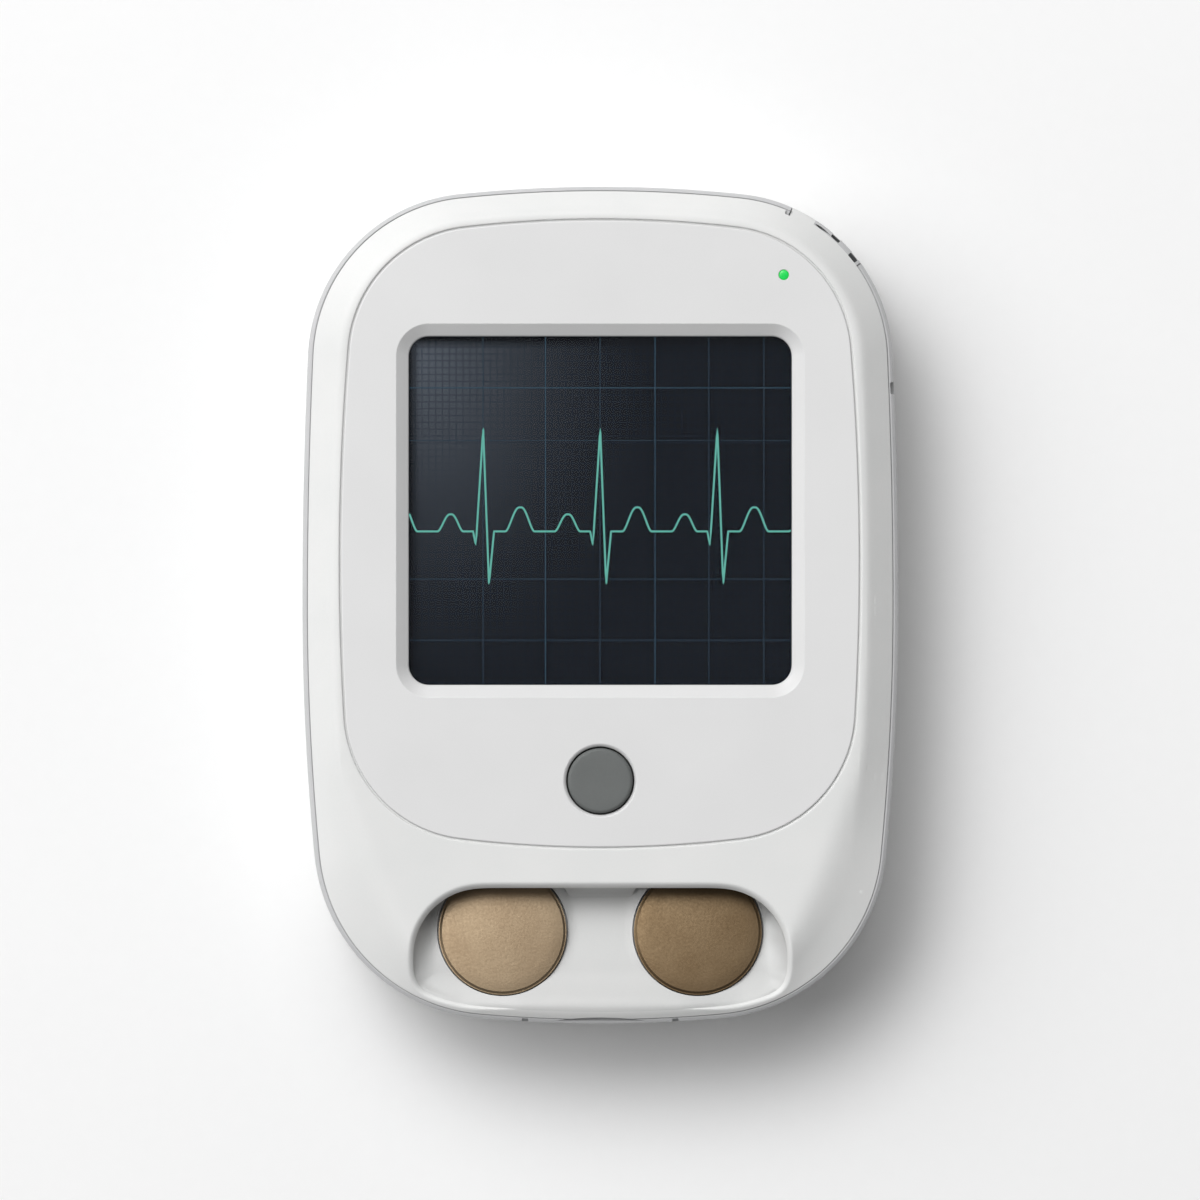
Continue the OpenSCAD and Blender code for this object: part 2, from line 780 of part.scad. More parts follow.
module display_flex() {
    color([0.85, 0.55, 0.15]) {
        translate([-flex_w / 2, flex_out_y - flex_run, flex_z]) cube([flex_w, flex_run, flex_t]);
        translate([-flex_w / 2, flex_out_y - flex_run, flex_z - flex_bend])
            rotate([90, 0, 90])
                rotate(90)
                    linear_extrude(flex_w)
                        intersection() {
                            difference() {
                                circle(flex_bend + flex_t);
                                circle(flex_bend);
                            }
                            square(flex_bend * 2);
                        }
        translate([-flex_w / 2, flex_down_y, board_top_z + connector_h - connector_slot])
            cube([flex_w, flex_t, flex_z - flex_bend - board_top_z - connector_h + connector_slot]);
    }
}

module flex_connector() {
    lip = 0.8;
    color([0.9, 0.88, 0.8])
        difference() {
            translate([-flex_w / 2 - lip, flex_down_y - connector_d / 2, board_top_z])
                cube([flex_w + 2 * lip, connector_d, connector_h]);
            translate([-flex_w / 2 - touch, flex_down_y - touch,
                       board_top_z + connector_h - connector_slot])
                cube([flex_w + 2 * touch, flex_t + 2 * touch, connector_h]);
        }
}

// Small holes in the band's top edge: one sound slot on the right, two beside the socket
vent_drop = 25.15;   // from the body's top edge
vent_y = half_h - vent_drop;
vent_l = 1.5;
vent_w = 0.36;
vent_inset = 0.27;
vent_depth = 2;
drain_x = 9.4;
drain_l = 0.8;
drain_w = 0.2;

module pill_cut(l, w) {
    translate([0, 0, front_seam_z - vent_depth])
        linear_extrude(reach)
            polygon(rounded(box_corners(w, l), [1, 1, 1, 1] * (w / 2 - eps)));
}

module mid_frame() {
    color(band_grey)
        difference() {
            union() {
                difference() {
                    loft(body_arcs, eased(
                        [[band_wall, rear_seam_z], [0, rear_seam_z],
                         [0, front_seam_z], [band_wall, front_seam_z]],
                        [0, band_round, band_round, 0]));
                    slab(body_arcs, band_wall, 0, reach);
                }
                swept(top_arc, strap_slots[0] - strap_block_turn, strap_slots[1] + strap_block_turn,
                      [[band_wall / 2, board_z], [band_wall / 2, strap_z - fit_gap],
                       [strap_back, strap_z - fit_gap], [strap_back, board_z]]);
            }
            swept(top_arc, strap_from - strap_turn_gap, strap_to + strap_turn_gap,
                  [[-1, strap_z - fit_gap], [-1, reach], [band_wall + 1, reach],
                   [band_wall + 1, strap_z - fit_gap]]);
            swept(top_arc, strap_slots[0] - strap_pocket_turn, strap_slots[1] + strap_pocket_turn,
                  [[-1, strap_z - strap_pocket_h], [-1, strap_z], [strap_back - strap_back_wall, strap_z],
                   [strap_back - strap_back_wall, strap_z - strap_pocket_h]]);
            at_key() key_bar(key_l + 2 * fit_gap, key_h + 2 * fit_gap, key_h / 2, -reach / 5, reach / 5);
            port_bar(port_w + 2 * port_gap, port_h + 2 * port_gap, -half_h - 1, -half_h + band_wall + 1);
            translate(side_arc[0])
                rotate(asin(vent_y / side_r_top))
                    translate([side_r_top - vent_inset, 0, 0])
                        pill_cut(vent_l, vent_w);
            for (side = [-1, 1])
                translate(body_arcs[7][0])
                    rotate(-90 + side * asin(drain_x / end_r))
                        translate([end_r - vent_inset, 0, 0])
                            pill_cut(drain_l, drain_w);
        }
}

module rear_cover() {
    lip_z = rear_seam_z + tongue_h;
    rib_t = 1;
    rib_h = 3;
    rib_gap = 0.5;
    frame_w = battery_w + 2 * rib_gap;
    frame_l = battery_l + guard_l + 2 * rib_gap;
    color(shell_white)
        difference() {
            union() {
                difference() {
                    union() {
                        loft(body_arcs, eased([[edge_inset, back_z], [0, back_z], [0, rear_seam_z]],
                                              [0, rear_roll, 0]));
                        slab(body_arcs, tongue_inset, rear_seam_z - tongue_t / 2, lip_z);
                    }
                    slab(body_arcs, cavity_inset, rear_inner_z, reach);
                }
                for (p = boss_places) translate(p) rod(pillar_r, back_z + eps, boss_end_z - touch);
                translate([0, battery_y + guard_l / 2, 0])
                    difference() {
                        rounded_box(frame_w + 2 * rib_t, frame_l + 2 * rib_t, rib_t, rear_inner_z - eps,
                                    rear_inner_z + rib_h);
                        rounded_box(frame_w, frame_l, rib_t / 2, 0, reach);
                        translate([-battery_w / 4, -reach * 2, 0]) cube([battery_w / 2, reach * 4, reach]);
                        translate([-reach * 2, -battery_l / 4, 0]) cube([reach * 4, battery_l / 2, reach]);
                    }
            }
            for (p = boss_places) translate(p) {
                rod(screw_r + 2 * fit_gap, 0, reach);
                rod(screw_head_r + 2 * fit_gap, 0, screw_seat_z);
            }
            for (p = foot_places) translate(p) rod(foot_r + fit_gap, 0, back_z + foot_sink);
            port_bar(port_w + 2 * port_gap, port_h + 2 * port_gap, -reach * 2, -half_h + cavity_inset + 1);
        }
}

foot_shift = 9.5;    // from a case screw towards the middle line
foot_round = 0.3;
foot_places = [for (p = boss_places) [p.x - sign(p.x) * foot_shift, p.y]];

module rubber_feet() {
    color(black_plastic)
        for (p = foot_places) translate(p)
            rotate_extrude()
                polygon(rounded(
                    [[0, 0], [foot_r, 0], [foot_r, foot_h + foot_sink], [0, foot_h + foot_sink]],
                    [0, foot_round, 0, 0]));
}

// A pan-head screw, head down, with a cross recess
module screw(r, head_r, head_h, l, seat_z) {
    slot_w = r * 0.5;
    difference() {
        union() {
            rod(r, seat_z, seat_z + l);
            translate([0, 0, seat_z - head_h])
                rotate_extrude()
                    polygon(rounded([[0, 0], [head_r, 0], [head_r, head_h], [0, head_h]],
                                    [0, head_h / 2, 0, 0]));
        }
        for (turn = [0, 90]) rotate(turn)
            translate([-head_r * 0.6, -slot_w / 2, seat_z - head_h - 1])
                cube([head_r * 1.2, slot_w, 1 + head_h / 2]);
    }
}

module case_screws() {
    color(steel)
        for (p = boss_places) translate(p)
            screw(screw_r, screw_head_r, screw_head_h, board_z + screw_grip - screw_seat_z, screw_seat_z);
}

module board_screws() {
    color(steel)
        for (p = board_boss_places) translate(p)
            screw(board_screw_r, board_head_r, board_head_h, board_screw_l, board_z);
}

module main_board() {
    color(board_green)
        difference() {
            slab(body_arcs, board_inset, board_z, board_top_z);
            for (p = boss_places) translate(p) rod(boss_r + boss_hole_gap, 0, reach);
            for (p = board_boss_places) translate(p) rod(board_screw_r + fit_gap, 0, reach);
        }
}

// Parts on the board
can_w = 22;
can_l = 16;
can_h = 1.8;
can_rise = 37.25;    // from the body's bottom edge
can_y = can_rise - half_h;
chip_w = 7;
chip_h = 0.9;
chip_rise = 19.25;
chip_y = chip_rise - half_h;
chip_column_in = 17; // from the body's side
chip_column_x = chip_column_in - half_w;
small_chips = [
    [chip_column_x, -2, 5, 4], [chip_column_x, 12, 4, 4], [chip_column_x, 24, 3, 5],
    [-2 * chip_w, chip_y, 4, 3], [2 * chip_w, chip_y, 3, 3]
];
beeper_r = 4.5;
beeper_h = 2.9;
beeper_in = 13.7;    // from the body's side
beeper_drop = 25.25; // from the body's top edge
beeper_x = half_w - beeper_in;
beeper_y = half_h - beeper_drop;

module under_board(x, y, w, l, h) {
    translate([x - w / 2, y - l / 2, board_z - h]) cube([w, l, h]);
}

module shield_can() {
    color(steel) under_board(0, can_y, can_w, can_l, can_h);
}

module ecg_chip() {
    color(chip_black) under_board(0, chip_y, chip_w, chip_w, chip_h);
}

module board_chips() {
    color(chip_black)
        for (c = small_chips) under_board(c[0], c[1], c[2], c[3], chip_h);
}

module beeper() {
    hole_r = 0.8;
    color(black_plastic)
        translate([beeper_x, beeper_y, 0])
            difference() {
                rod(beeper_r, board_z - beeper_h, board_z);
                rod(hole_r, board_z - beeper_h - 1, board_z - beeper_h / 2);
            }
}

// Battery
battery_r = 1.5;
battery_z = rear_inner_z + battery_pad_t;
guard_l = 3;
guard_t = 1.6;
guard_z = battery_z + battery_t / 2 - guard_t / 2;
guard_y = battery_y + battery_l / 2;
lead_r = 0.55;
lead_x = 1.2;
lead_bend = 1.6;
lead_z = battery_z + battery_t / 2;
lead_run = 0.8;
plug_w = 6;
plug_l = 3.4;
plug_h = 1.5;
lead_up_y = guard_y + guard_l + lead_run + lead_bend;

module battery_cell() {
    color([0.78, 0.79, 0.8])
        translate([0, battery_y, 0])
            rounded_box(battery_w, battery_l, battery_r, battery_z, battery_z + battery_t);
}

module battery_guard() {
    color([0.85, 0.6, 0.1])
        translate([-battery_w / 2 + 2, guard_y, guard_z]) cube([battery_w - 4, guard_l, guard_t]);
}

module battery_pad() {
    inset = 4;
    color(chip_black)
        translate([0, battery_y, 0])
            rounded_box(battery_w - inset, battery_l - inset, battery_r, rear_inner_z, battery_z);
}

// Each lead runs out of the protection board, bends and rises to the plug
module battery_leads() {
    color([0.75, 0.12, 0.1])
        for (side = [-1, 1]) translate([side * lead_x, 0, lead_z]) {
            translate([0, guard_y + guard_l, 0]) rotate([-90, 0, 0]) cylinder(r = lead_r, h = lead_run);
            translate([0, guard_y + guard_l + lead_run, lead_bend])
                rotate([0, 90, 0])
                    rotate_extrude(angle = 90)
                        translate([lead_bend, 0]) circle(lead_r);
            translate([0, lead_up_y, lead_bend])
                cylinder(r = lead_r, h = board_z - plug_h - lead_z - lead_bend);
        }
}

module battery_plug() {
    color([0.92, 0.9, 0.84]) under_board(0, lead_up_y, plug_w, plug_l, plug_h);
}

module port_shell() {
    color(steel)
        difference() {
            port_bar(port_w, port_h, port_mouth_y, port_mouth_y + port_l);
            port_bar(port_w - 2 * port_wall, port_h - 2 * port_wall, port_mouth_y - 1,
                     port_mouth_y + port_l - port_wall);
        }
}

module port_tongue() {
    tongue_w = 6.7;
    tongue_thick = 0.7;
    block_l = 1.2;
    back_y = port_mouth_y + port_l - port_wall;
    color(black_plastic) {
        translate([-tongue_w / 2, port_mouth_y + 0.5, port_z - tongue_thick / 2])
            cube([tongue_w, back_y - port_mouth_y - 0.5, tongue_thick]);
        port_bar(port_w - 2 * port_wall, port_h - 2 * port_wall, back_y - block_l, back_y);
    }
}

// Electrode disc with a rolled rim, and the stud that carries its signal
module electrode(side) {
    rim_w = 0.42;
    rim_h = 0.12;
    groove = 0.16;
    top = electrode_proud;
    r = electrode_r;
    color(bronze)
        on_ramp(side * electrode_x)
            rotate_extrude()
                polygon(rounded(
                    [[0, -recess_floor_t - stud_l], [stud_r, -recess_floor_t - stud_l],
                     [stud_r, -electrode_sink], [r, -electrode_sink], [r, top + rim_h],
                     [r - rim_w, top + rim_h], [r - rim_w, top - groove],
                     [r - rim_w - groove, top - groove], [r - rim_w - 2 * groove, top], [0, top]],
                    [0, 0, 0, 0, rim_w / 2 - eps, rim_w / 2 - eps, 0, 0, 0, 0]));
}

// Push-on ring that holds an electrode from inside
module electrode_clip(side) {
    clip_t = 0.35;
    color(steel)
        on_ramp(side * electrode_x)
            difference() {
                rod(stud_r * 2, -recess_floor_t - clip_t, -recess_floor_t);
                rod(stud_r + touch / 2, -reach, 0);
            }
}

// Bent leaf between the board and the stud's end
module contact_spring(side) {
    leaf_w = 2;
    leaf_t = 0.2;
    foot = 2.6;
    stud_end = ramp_z(-electrode_y) - (recess_floor_t + stud_l + touch) / cos(recess_slope)
        - stud_r * tan(recess_slope);
    rise = stud_end - board_top_z;
    color([0.85, 0.7, 0.35])
        translate([side * electrode_x - leaf_w / 2, -electrode_y, board_top_z])
            rotate([90, 0, 90])
                linear_extrude(leaf_w)
                    polygon([
                        [-foot, 0], [foot, 0], [foot, leaf_t], [1, rise], [-1, rise], [-1, rise - leaf_t],
                        [1 - leaf_t, rise - leaf_t], [foot - 2 * leaf_t, leaf_t], [-foot, leaf_t]
                    ]);
}

// Front button: cap, flange under the faceplate and stem down to its switch
flange_over = 0.95;
flange_gap = 0.3;
flange_r = button_r + flange_over;
flange_t = 0.8;
guide_r = flange_r + flange_gap;
cap_round = 0.4;
stem_r = 1.6;
switch_w = 6;
switch_h = 2.2;
plunger_r = 1.1;
plunger_up = 1;
plunger_in = 0.6;
plunger_top_z = board_top_z + switch_h + plunger_up;

module front_button() {
    top = body_t + button_proud;
    under = plate_z - touch - flange_t;
    color(button_grey)
        translate([0, -button_y, 0])
            rotate_extrude()
                polygon(rounded(
                    [[0, plunger_top_z + touch], [stem_r, plunger_top_z + touch], [stem_r, under],
                     [flange_r, under], [flange_r, under + flange_t], [button_r, under + flange_t],
                     [button_r, top], [0, top]],
                    [0, 0, 0, 0, 0, 0, cap_round, 0]));
}

module front_switch() {
    bore = plunger_in + button_travel + fit_gap;
    color(chip_black)
        translate([0, -button_y, 0])
            difference() {
                translate([-switch_w / 2, -switch_w / 2, board_top_z]) cube([switch_w, switch_w, switch_h]);
                rod(plunger_r + fit_gap, board_top_z + switch_h - bore, reach);
            }
}

module front_plunger() {
    color([0.75, 0.2, 0.15])
        translate([0, -button_y, 0]) rod(plunger_r, board_top_z + switch_h - plunger_in, plunger_top_z);
}

// Side key: head in the band, flange behind it and a nub on its switch
key_back = -band_wall - fit_gap - key_flange_t;
side_contact = key_back - key_nub_l;
side_plunger_l = 1.3;
side_plunger_in = 0.5;
side_switch_x = side_contact - touch - side_plunger_l + side_plunger_in;
side_switch_d = 3;

module side_key() {
    color(band_grey)
        at_key() {
            intersection() {
                key_bar(key_l, key_h, key_h / 2 - eps, key_back + key_flange_t / 2, key_proud + 1);
                translate([-side_r_top, 0, -key_h])
                    cylinder(r = side_r_top + key_proud, h = 2 * key_h, $fn = fine_fn);
            }
            key_bar(key_flange_l, key_h, key_h / 4, key_back, key_back + key_flange_t);
            x_rod(key_nub_r, side_contact, key_back + key_flange_t / 2);
        }
}

module side_switch() {
    body_l = 5;
    color(chip_black)
        at_key()
            difference() {
                translate([side_switch_x - side_switch_d, -body_l / 2, -key_below_board])
                    cube([side_switch_d, body_l, 2 * key_below_board]);
                x_rod(key_nub_r + fit_gap, side_switch_x - side_plunger_in - key_travel - fit_gap, reach);
            }
}

module side_plunger() {
    color([0.9, 0.88, 0.82])
        at_key() x_rod(key_nub_r, side_switch_x - side_plunger_in, side_contact - touch);
}

// Status light
led_h = 0.6;
led_w = 1.6;

module status_led() {
    color([0.9, 0.95, 0.8])
        translate([light_x - led_w / 2, light_y - led_w / 4, board_top_z]) cube([led_w, led_w / 2, led_h]);
}

module light_pipe() {
    shoulder_r = light_r * 2;
    shoulder_t = 0.6;
    foot = light_r * 1.5;
    low_z = board_top_z + led_h + touch;
    color([0.2, 0.9, 0.4])
        translate([light_x, light_y, 0])
            rotate_extrude()
                polygon([
                    [0, low_z], [foot, low_z], [foot, ceiling_z - touch - shoulder_t],
                    [shoulder_r, ceiling_z - touch - shoulder_t], [shoulder_r, ceiling_z - touch],
                    [light_r, ceiling_z - touch], [light_r, body_t], [0, body_t]
                ]);
}

front_shell();
faceplate();
faceplate_adhesive();
display_lens();
display_gasket();
lcd_panel();
backlight();
lcd_tray();
display_flex();
flex_connector();
mid_frame();
rear_cover();
rubber_feet();
case_screws();
main_board();
board_screws();
shield_can();
ecg_chip();
board_chips();
beeper();
battery_cell();
battery_guard();
battery_pad();
battery_leads();
battery_plug();
port_shell();
port_tongue();
electrode(-1);  // electrode_left
electrode(1);  // electrode_right
electrode_clip(-1);  // electrode_clip_left
electrode_clip(1);  // electrode_clip_right
contact_spring(-1);  // contact_spring_left
contact_spring(1);  // contact_spring_right
front_button();
front_switch();
front_plunger();
side_key();
side_switch();
side_plunger();
status_led();
light_pipe();
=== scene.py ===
import math
import bmesh
import bpy
import numpy as np
from mathutils import Matrix, Vector
from mathutils.geometry import delaunay_2d_cdt


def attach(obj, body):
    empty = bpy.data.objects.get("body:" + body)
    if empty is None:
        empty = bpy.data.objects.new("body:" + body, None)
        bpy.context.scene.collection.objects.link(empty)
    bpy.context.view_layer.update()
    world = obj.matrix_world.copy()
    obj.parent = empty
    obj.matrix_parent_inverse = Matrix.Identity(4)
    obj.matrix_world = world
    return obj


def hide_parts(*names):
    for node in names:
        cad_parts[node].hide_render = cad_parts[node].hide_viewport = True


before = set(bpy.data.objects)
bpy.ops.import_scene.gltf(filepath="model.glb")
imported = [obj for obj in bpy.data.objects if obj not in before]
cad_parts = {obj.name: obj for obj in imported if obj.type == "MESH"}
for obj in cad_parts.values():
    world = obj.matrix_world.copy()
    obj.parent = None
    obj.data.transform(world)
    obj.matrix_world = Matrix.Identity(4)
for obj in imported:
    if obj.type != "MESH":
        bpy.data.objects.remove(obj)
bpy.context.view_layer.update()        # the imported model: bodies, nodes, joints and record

mm = 0.001    # every size below is in millimetres, and a mesh is scaled to metres when it is made
batch = 2000  # points tested at once
scene = bpy.context.scene

body = {
    "halfWidth": 37.2, "halfHeight": 52.25, "thick": 20.0,
    "sideTop": 700.0, "sideBottom": 325.0, "endRound": 170.0,
    "cornerTop": 21.0, "cornerBottom": 22.5,
    "rearSeam": 6.5, "frontSeam": 17.4, "bandWall": 1.8, "bandRound": 0.4,
}
plate = {
    "halfWidth": 32.45, "top": 48.1, "bottom": 30.3, "middleY": 5.4,  # its widest line sits above the middle
    "side": 330.0, "end": 145.0, "corner": 16.3, "groove": 0.2, "grooveRound": 0.15, "seat": 18.0, "edgeRound": 0.2,
}


def cornerCentre(a, b, sideR, endR, cornerR):
    sideX, endY = a - sideR, b - endR
    d = math.hypot(sideX, endY)
    r1, r2 = sideR - cornerR, endR - cornerR
    t = (r1 * r1 - r2 * r2 + d * d) / (2 * d)
    h = math.sqrt(r1 * r1 - t * t)
    ux, uy = -sideX / d, endY / d
    return sideX + ux * t - uy * h, uy * t + ux * h


def halfArcs(a, b, sideR, endR, cornerR):
    # five tangent arcs over one half of an outline: centre x, centre y, radius, first and last angle
    cx, cy = cornerCentre(a, b, sideR, endR, cornerR)
    low = math.degrees(math.atan2(cy, cx - a + sideR))
    high = math.degrees(math.atan2(cy - b + endR, cx))
    return [
        (a - sideR, 0, sideR, 0, low), (cx, cy, cornerR, low, high), (0, b - endR, endR, high, 180 - high),
        (-cx, cy, cornerR, 180 - high, 180 - low), (sideR - a, 0, sideR, 180 - low, 180),
    ]


def turned(arcs):
    return [(-x, -y, r, a0 + 180, a1 + 180) for x, y, r, a0, a1 in arcs]


def lifted(arcs, dy):
    return [(x, y + dy, r, a0, a1) for x, y, r, a0, a1 in arcs]


bodyUpper, bodyLower = [halfArcs(body["halfWidth"], body["halfHeight"], side, body["endRound"], corner)
                        for side, corner in ((body["sideTop"], body["cornerTop"]),
                                             (body["sideBottom"], body["cornerBottom"]))]
bodyArcs = bodyUpper + turned(bodyLower)
plateUpper, plateLower = [halfArcs(plate["halfWidth"], reach, plate["side"], plate["end"], plate["corner"])
                          for reach in (plate["top"] - plate["middleY"], plate["bottom"] + plate["middleY"])]
plateArcs = lifted(plateUpper + turned(plateLower), plate["middleY"])


def outline(arcs, inset, chord=1.5, turn=1.6):
    ring = []
    for x, y, r, a0, a1 in arcs:
        span = a1 - a0
        steps = math.ceil(span / turn) if r < 50 else math.ceil(math.radians(span) * r / chord)
        for i in range(steps):
            t = math.radians(a0 + span * i / steps)
            ring.append((x + (r - inset) * math.cos(t), y + (r - inset) * math.sin(t)))
    return ring


def insetOf(arcs, points):
    # how far each point lies inside the outline
    points = np.asarray(points, float)
    best = np.full(len(points), 25.0)
    for x, y, r, a0, a1 in arcs:
        v = points - (x, y)
        turn = (np.degrees(np.arctan2(v[:, 1], v[:, 0])) - a0 + 720 + 1e-6) % 360
        d = r - np.hypot(v[:, 0], v[:, 1])
        best = np.where(turn <= a1 - a0 + 2e-6, np.minimum(best, d), best)
    return best


def pushedIn(arcs, point, inset):
    # moves a point that lies too near the edge, or past it, to the given inset
    x0, y0 = point
    for x, y, r, a0, a1 in arcs:
        vx, vy = x0 - x, y0 - y
        turn = (math.degrees(math.atan2(vy, vx)) - a0 + 720) % 360
        far = math.hypot(vx, vy)
        if turn <= a1 - a0 and far > r - inset and far < r + 20:
            k = (r - inset) / far
            return x + vx * k, y + vy * k
    return point


def nearestOn(loop, points, closed=True):
    # distance to a polyline, and the index of the nearest of its corners
    a = np.asarray(loop, float)
    b = np.roll(a, -1, axis=0)
    if not closed:
        a, b = a[:-1], b[:-1]
    ab = b - a
    ll = np.maximum((ab ** 2).sum(1), 1e-12)
    points = np.asarray(points, float)
    far = np.empty(len(points))
    which = np.empty(len(points))
    for k in range(0, len(points), batch):
        p = points[k:k + batch, None, :]
        t = np.clip(((p - a) * ab).sum(2) / ll, 0, 1)
        d = ((p - a - t[..., None] * ab) ** 2).sum(2)
        i = d.argmin(1)
        far[k:k + batch] = np.sqrt(d[np.arange(len(i)), i])
        which[k:k + batch] = i + t[np.arange(len(i)), i]
    return far, which


def insideOf(loop, points):
    a = np.asarray(loop, float)
    b = np.roll(a, -1, axis=0)
    points = np.asarray(points, float)
    inside = np.empty(len(points), bool)
    for k in range(0, len(points), batch):
        x, y = points[k:k + batch, 0, None], points[k:k + batch, 1, None]
        rise = b[:, 1] - a[:, 1]
        rise = np.where(rise == 0, 1e-12, rise)
        hit = ((a[:, 1] > y) != (b[:, 1] > y)) & (x < (b[:, 0] - a[:, 0]) * (y - a[:, 1]) / rise + a[:, 0])
        inside[k:k + batch] = hit.sum(1) % 2 == 1
    return inside


def resampled(loop, step):
    a = np.asarray(loop, float)
    a = np.vstack([a, a[:1]])
    run = np.concatenate([[0], np.cumsum(np.hypot(*np.diff(a, axis=0).T))])
    n = int(round(run[-1] / step))
    at = np.arange(n) * run[-1] / n
    return np.column_stack([np.interp(at, run, a[:, 0]), np.interp(at, run, a[:, 1])])


def offset(loop, distance):
    # a closed loop that runs anticlockwise, moved outwards
    a = np.asarray(loop, float)
    t = np.roll(a, -1, axis=0) - np.roll(a, 1, axis=0)
    t /= np.hypot(t[:, 0], t[:, 1])[:, None]
    return a + distance * np.column_stack([t[:, 1], -t[:, 0]])


def smoothStep(low, high, value):
    t = np.clip((value - low) / (high - low), 0, 1)
    return t * t * (3 - 2 * t)


def roundedRect(w, h, r, cx=0.0, cy=0.0, steps=10):
    ring = []
    for sx, sy, a0 in ((1, 1, 0), (-1, 1, 90), (-1, -1, 180), (1, -1, 270)):
        for i in range(steps + 1):
            t = math.radians(a0 + 90 * i / steps)
            ring.append((cx + sx * (w / 2 - r) + r * math.cos(t), cy + sy * (h / 2 - r) + r * math.sin(t)))
    return ring


def circle(cx, cy, r, steps=96):
    return [(cx + r * math.cos(2 * math.pi * i / steps), cy + r * math.sin(2 * math.pi * i / steps))
            for i in range(steps)]


def atHeight(loop, z):
    # the loop's points at one height, or at a height each
    return [(x, y, h) for (x, y), h in zip(loop, np.broadcast_to(z, len(loop)))]


def flatAt(z):
    return lambda xy: np.full(len(xy), z)


class Shape:
    def __init__(self):
        self.verts, self.faces = [], []

    def add(self, verts, faces):
        base = len(self.verts)
        self.verts += [tuple(map(float, v)) for v in verts]
        self.faces += [[base + i for i in f] for f in faces]
        return self
    def merge(self, other):
        return self.add(other.verts, other.faces)
    def loft(self, rings, capFirst=False, capLast=False):
        # rings of equally many points, joined one to the next
        n = len(rings[0])
        verts = [p for ring in rings for p in ring]
        faces = []
        for k in range(len(rings) - 1):
            for i in range(n):
                j = (i + 1) % n
                faces.append([k * n + i, k * n + j, (k + 1) * n + j, (k + 1) * n + i])
        if capFirst:
            faces.append(list(range(n))[::-1])
        if capLast:
            faces.append([(len(rings) - 1) * n + i for i in range(n)])
        return self.add(verts, faces)

    def patch(self, outer, holes, height, rings=(), points=()):
        # fills the area between an outer loop and its holes; height(xy) gives z at every point
        flat, edges = [], []
        for line, last in [(line, 0) for line in [outer, *holes]] + [(line, 1) for line in rings]:
            base, n = len(flat), len(line)
            flat += [Vector((float(x), float(y))) for x, y in line]
            edges += [(base + i, base + (i + 1) % n) for i in range(n - last)]
        flat += [Vector((float(x), float(y))) for x, y in points]
        verts, _, faces, *_ = delaunay_2d_cdt(flat, edges, [], 0, 1e-4)
        xy = np.array([(v.x, v.y) for v in verts])
        middle = np.array([xy[list(f)].mean(0) for f in faces])
        keep = insideOf(outer, middle)
        for hole in holes:
            keep &= ~insideOf(hole, middle)
        return self.add(np.column_stack([xy, height(xy)]), [list(f) for f, k in zip(faces, keep) if k])

    def lathe(self, profile, cx=0.0, cy=0.0, place=None, steps=96):
        # a profile of (radius, height) turned about an upright line; a radius of 0 closes it in a point
        verts, faces, start = [], [], []
        for r, z in profile:
            start.append(len(verts))
            if r < 1e-6:
                verts.append((0.0, 0.0, z))
            else:
                verts += [(r * math.cos(2 * math.pi * i / steps), r * math.sin(2 * math.pi * i / steps), z)
                          for i in range(steps)]
        for k in range(len(profile) - 1):
            a, b = start[k], start[k + 1]
            for i in range(steps):
                j = (i + 1) % steps
                if profile[k][0] < 1e-6:
                    faces.append([a, b + j, b + i])
                elif profile[k + 1][0] < 1e-6:
                    faces.append([a + i, a + j, b])
                else:
                    faces.append([a + i, a + j, b + j, b + i])
        place = place or Matrix.Translation((cx, cy, 0))
        return self.add([place @ Vector(v) for v in verts], faces)

    def mesh(self, name, sharp=32):
        made = bpy.data.meshes.new(name)
        bm = bmesh.new()
        points = [bm.verts.new((x * mm, y * mm, z * mm)) for x, y, z in self.verts]
        for f in self.faces:
            if len(set(f)) > 2:
                try:
                    bm.faces.new([points[i] for i in f])
                except ValueError:  # the same face twice
                    pass
        bmesh.ops.remove_doubles(bm, verts=bm.verts, dist=2e-6)
        bmesh.ops.recalc_face_normals(bm, faces=bm.faces)
        bm.to_mesh(made)
        bm.free()
        return shaded(made, sharp)


def shaded(mesh, sharp):
    mesh.polygons.foreach_set("use_smooth", [True] * len(mesh.polygons))
    mesh.set_sharp_from_angle(angle=math.radians(sharp))
    mesh.update()
    return mesh


def evaluated(holder):
    graph = bpy.context.evaluated_depsgraph_get()
    return bpy.data.meshes.new_from_object(holder.evaluated_get(graph))


def carved(mesh, cutter):
    # takes a closed cutter out of a closed mesh
    holder = bpy.data.objects.new("holder", mesh)
    tool = bpy.data.objects.new("tool", cutter)
    for o in (holder, tool):
        scene.collection.objects.link(o)
    cut = holder.modifiers.new("cut", "BOOLEAN")
    cut.operation, cut.solver, cut.object, cut.use_self = "DIFFERENCE", "EXACT", tool, True
    result = evaluated(holder)
    for o in (holder, tool):
        bpy.data.objects.remove(o)
    return shaded(result, 32)


def piece(name, mesh, material, bodyName, nodes=()):
    mesh.materials.clear()
    mesh.materials.append(material)
    mesh.name = name
    made = bpy.data.objects.new(name, mesh)
    scene.collection.objects.link(made)
    weigh = made.modifiers.new("flat_faces_stay_flat", "WEIGHTED_NORMAL")
    weigh.keep_sharp = True
    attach(made, bodyName)
    if nodes:
        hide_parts(*nodes)
    return made


def linear(hexColour):
    channels = [int(hexColour[i:i + 2], 16) / 255 for i in (1, 3, 5)]
    return tuple(c / 12.92 if c <= 0.04045 else ((c + 0.055) / 1.055) ** 2.4 for c in channels) + (1.0,)


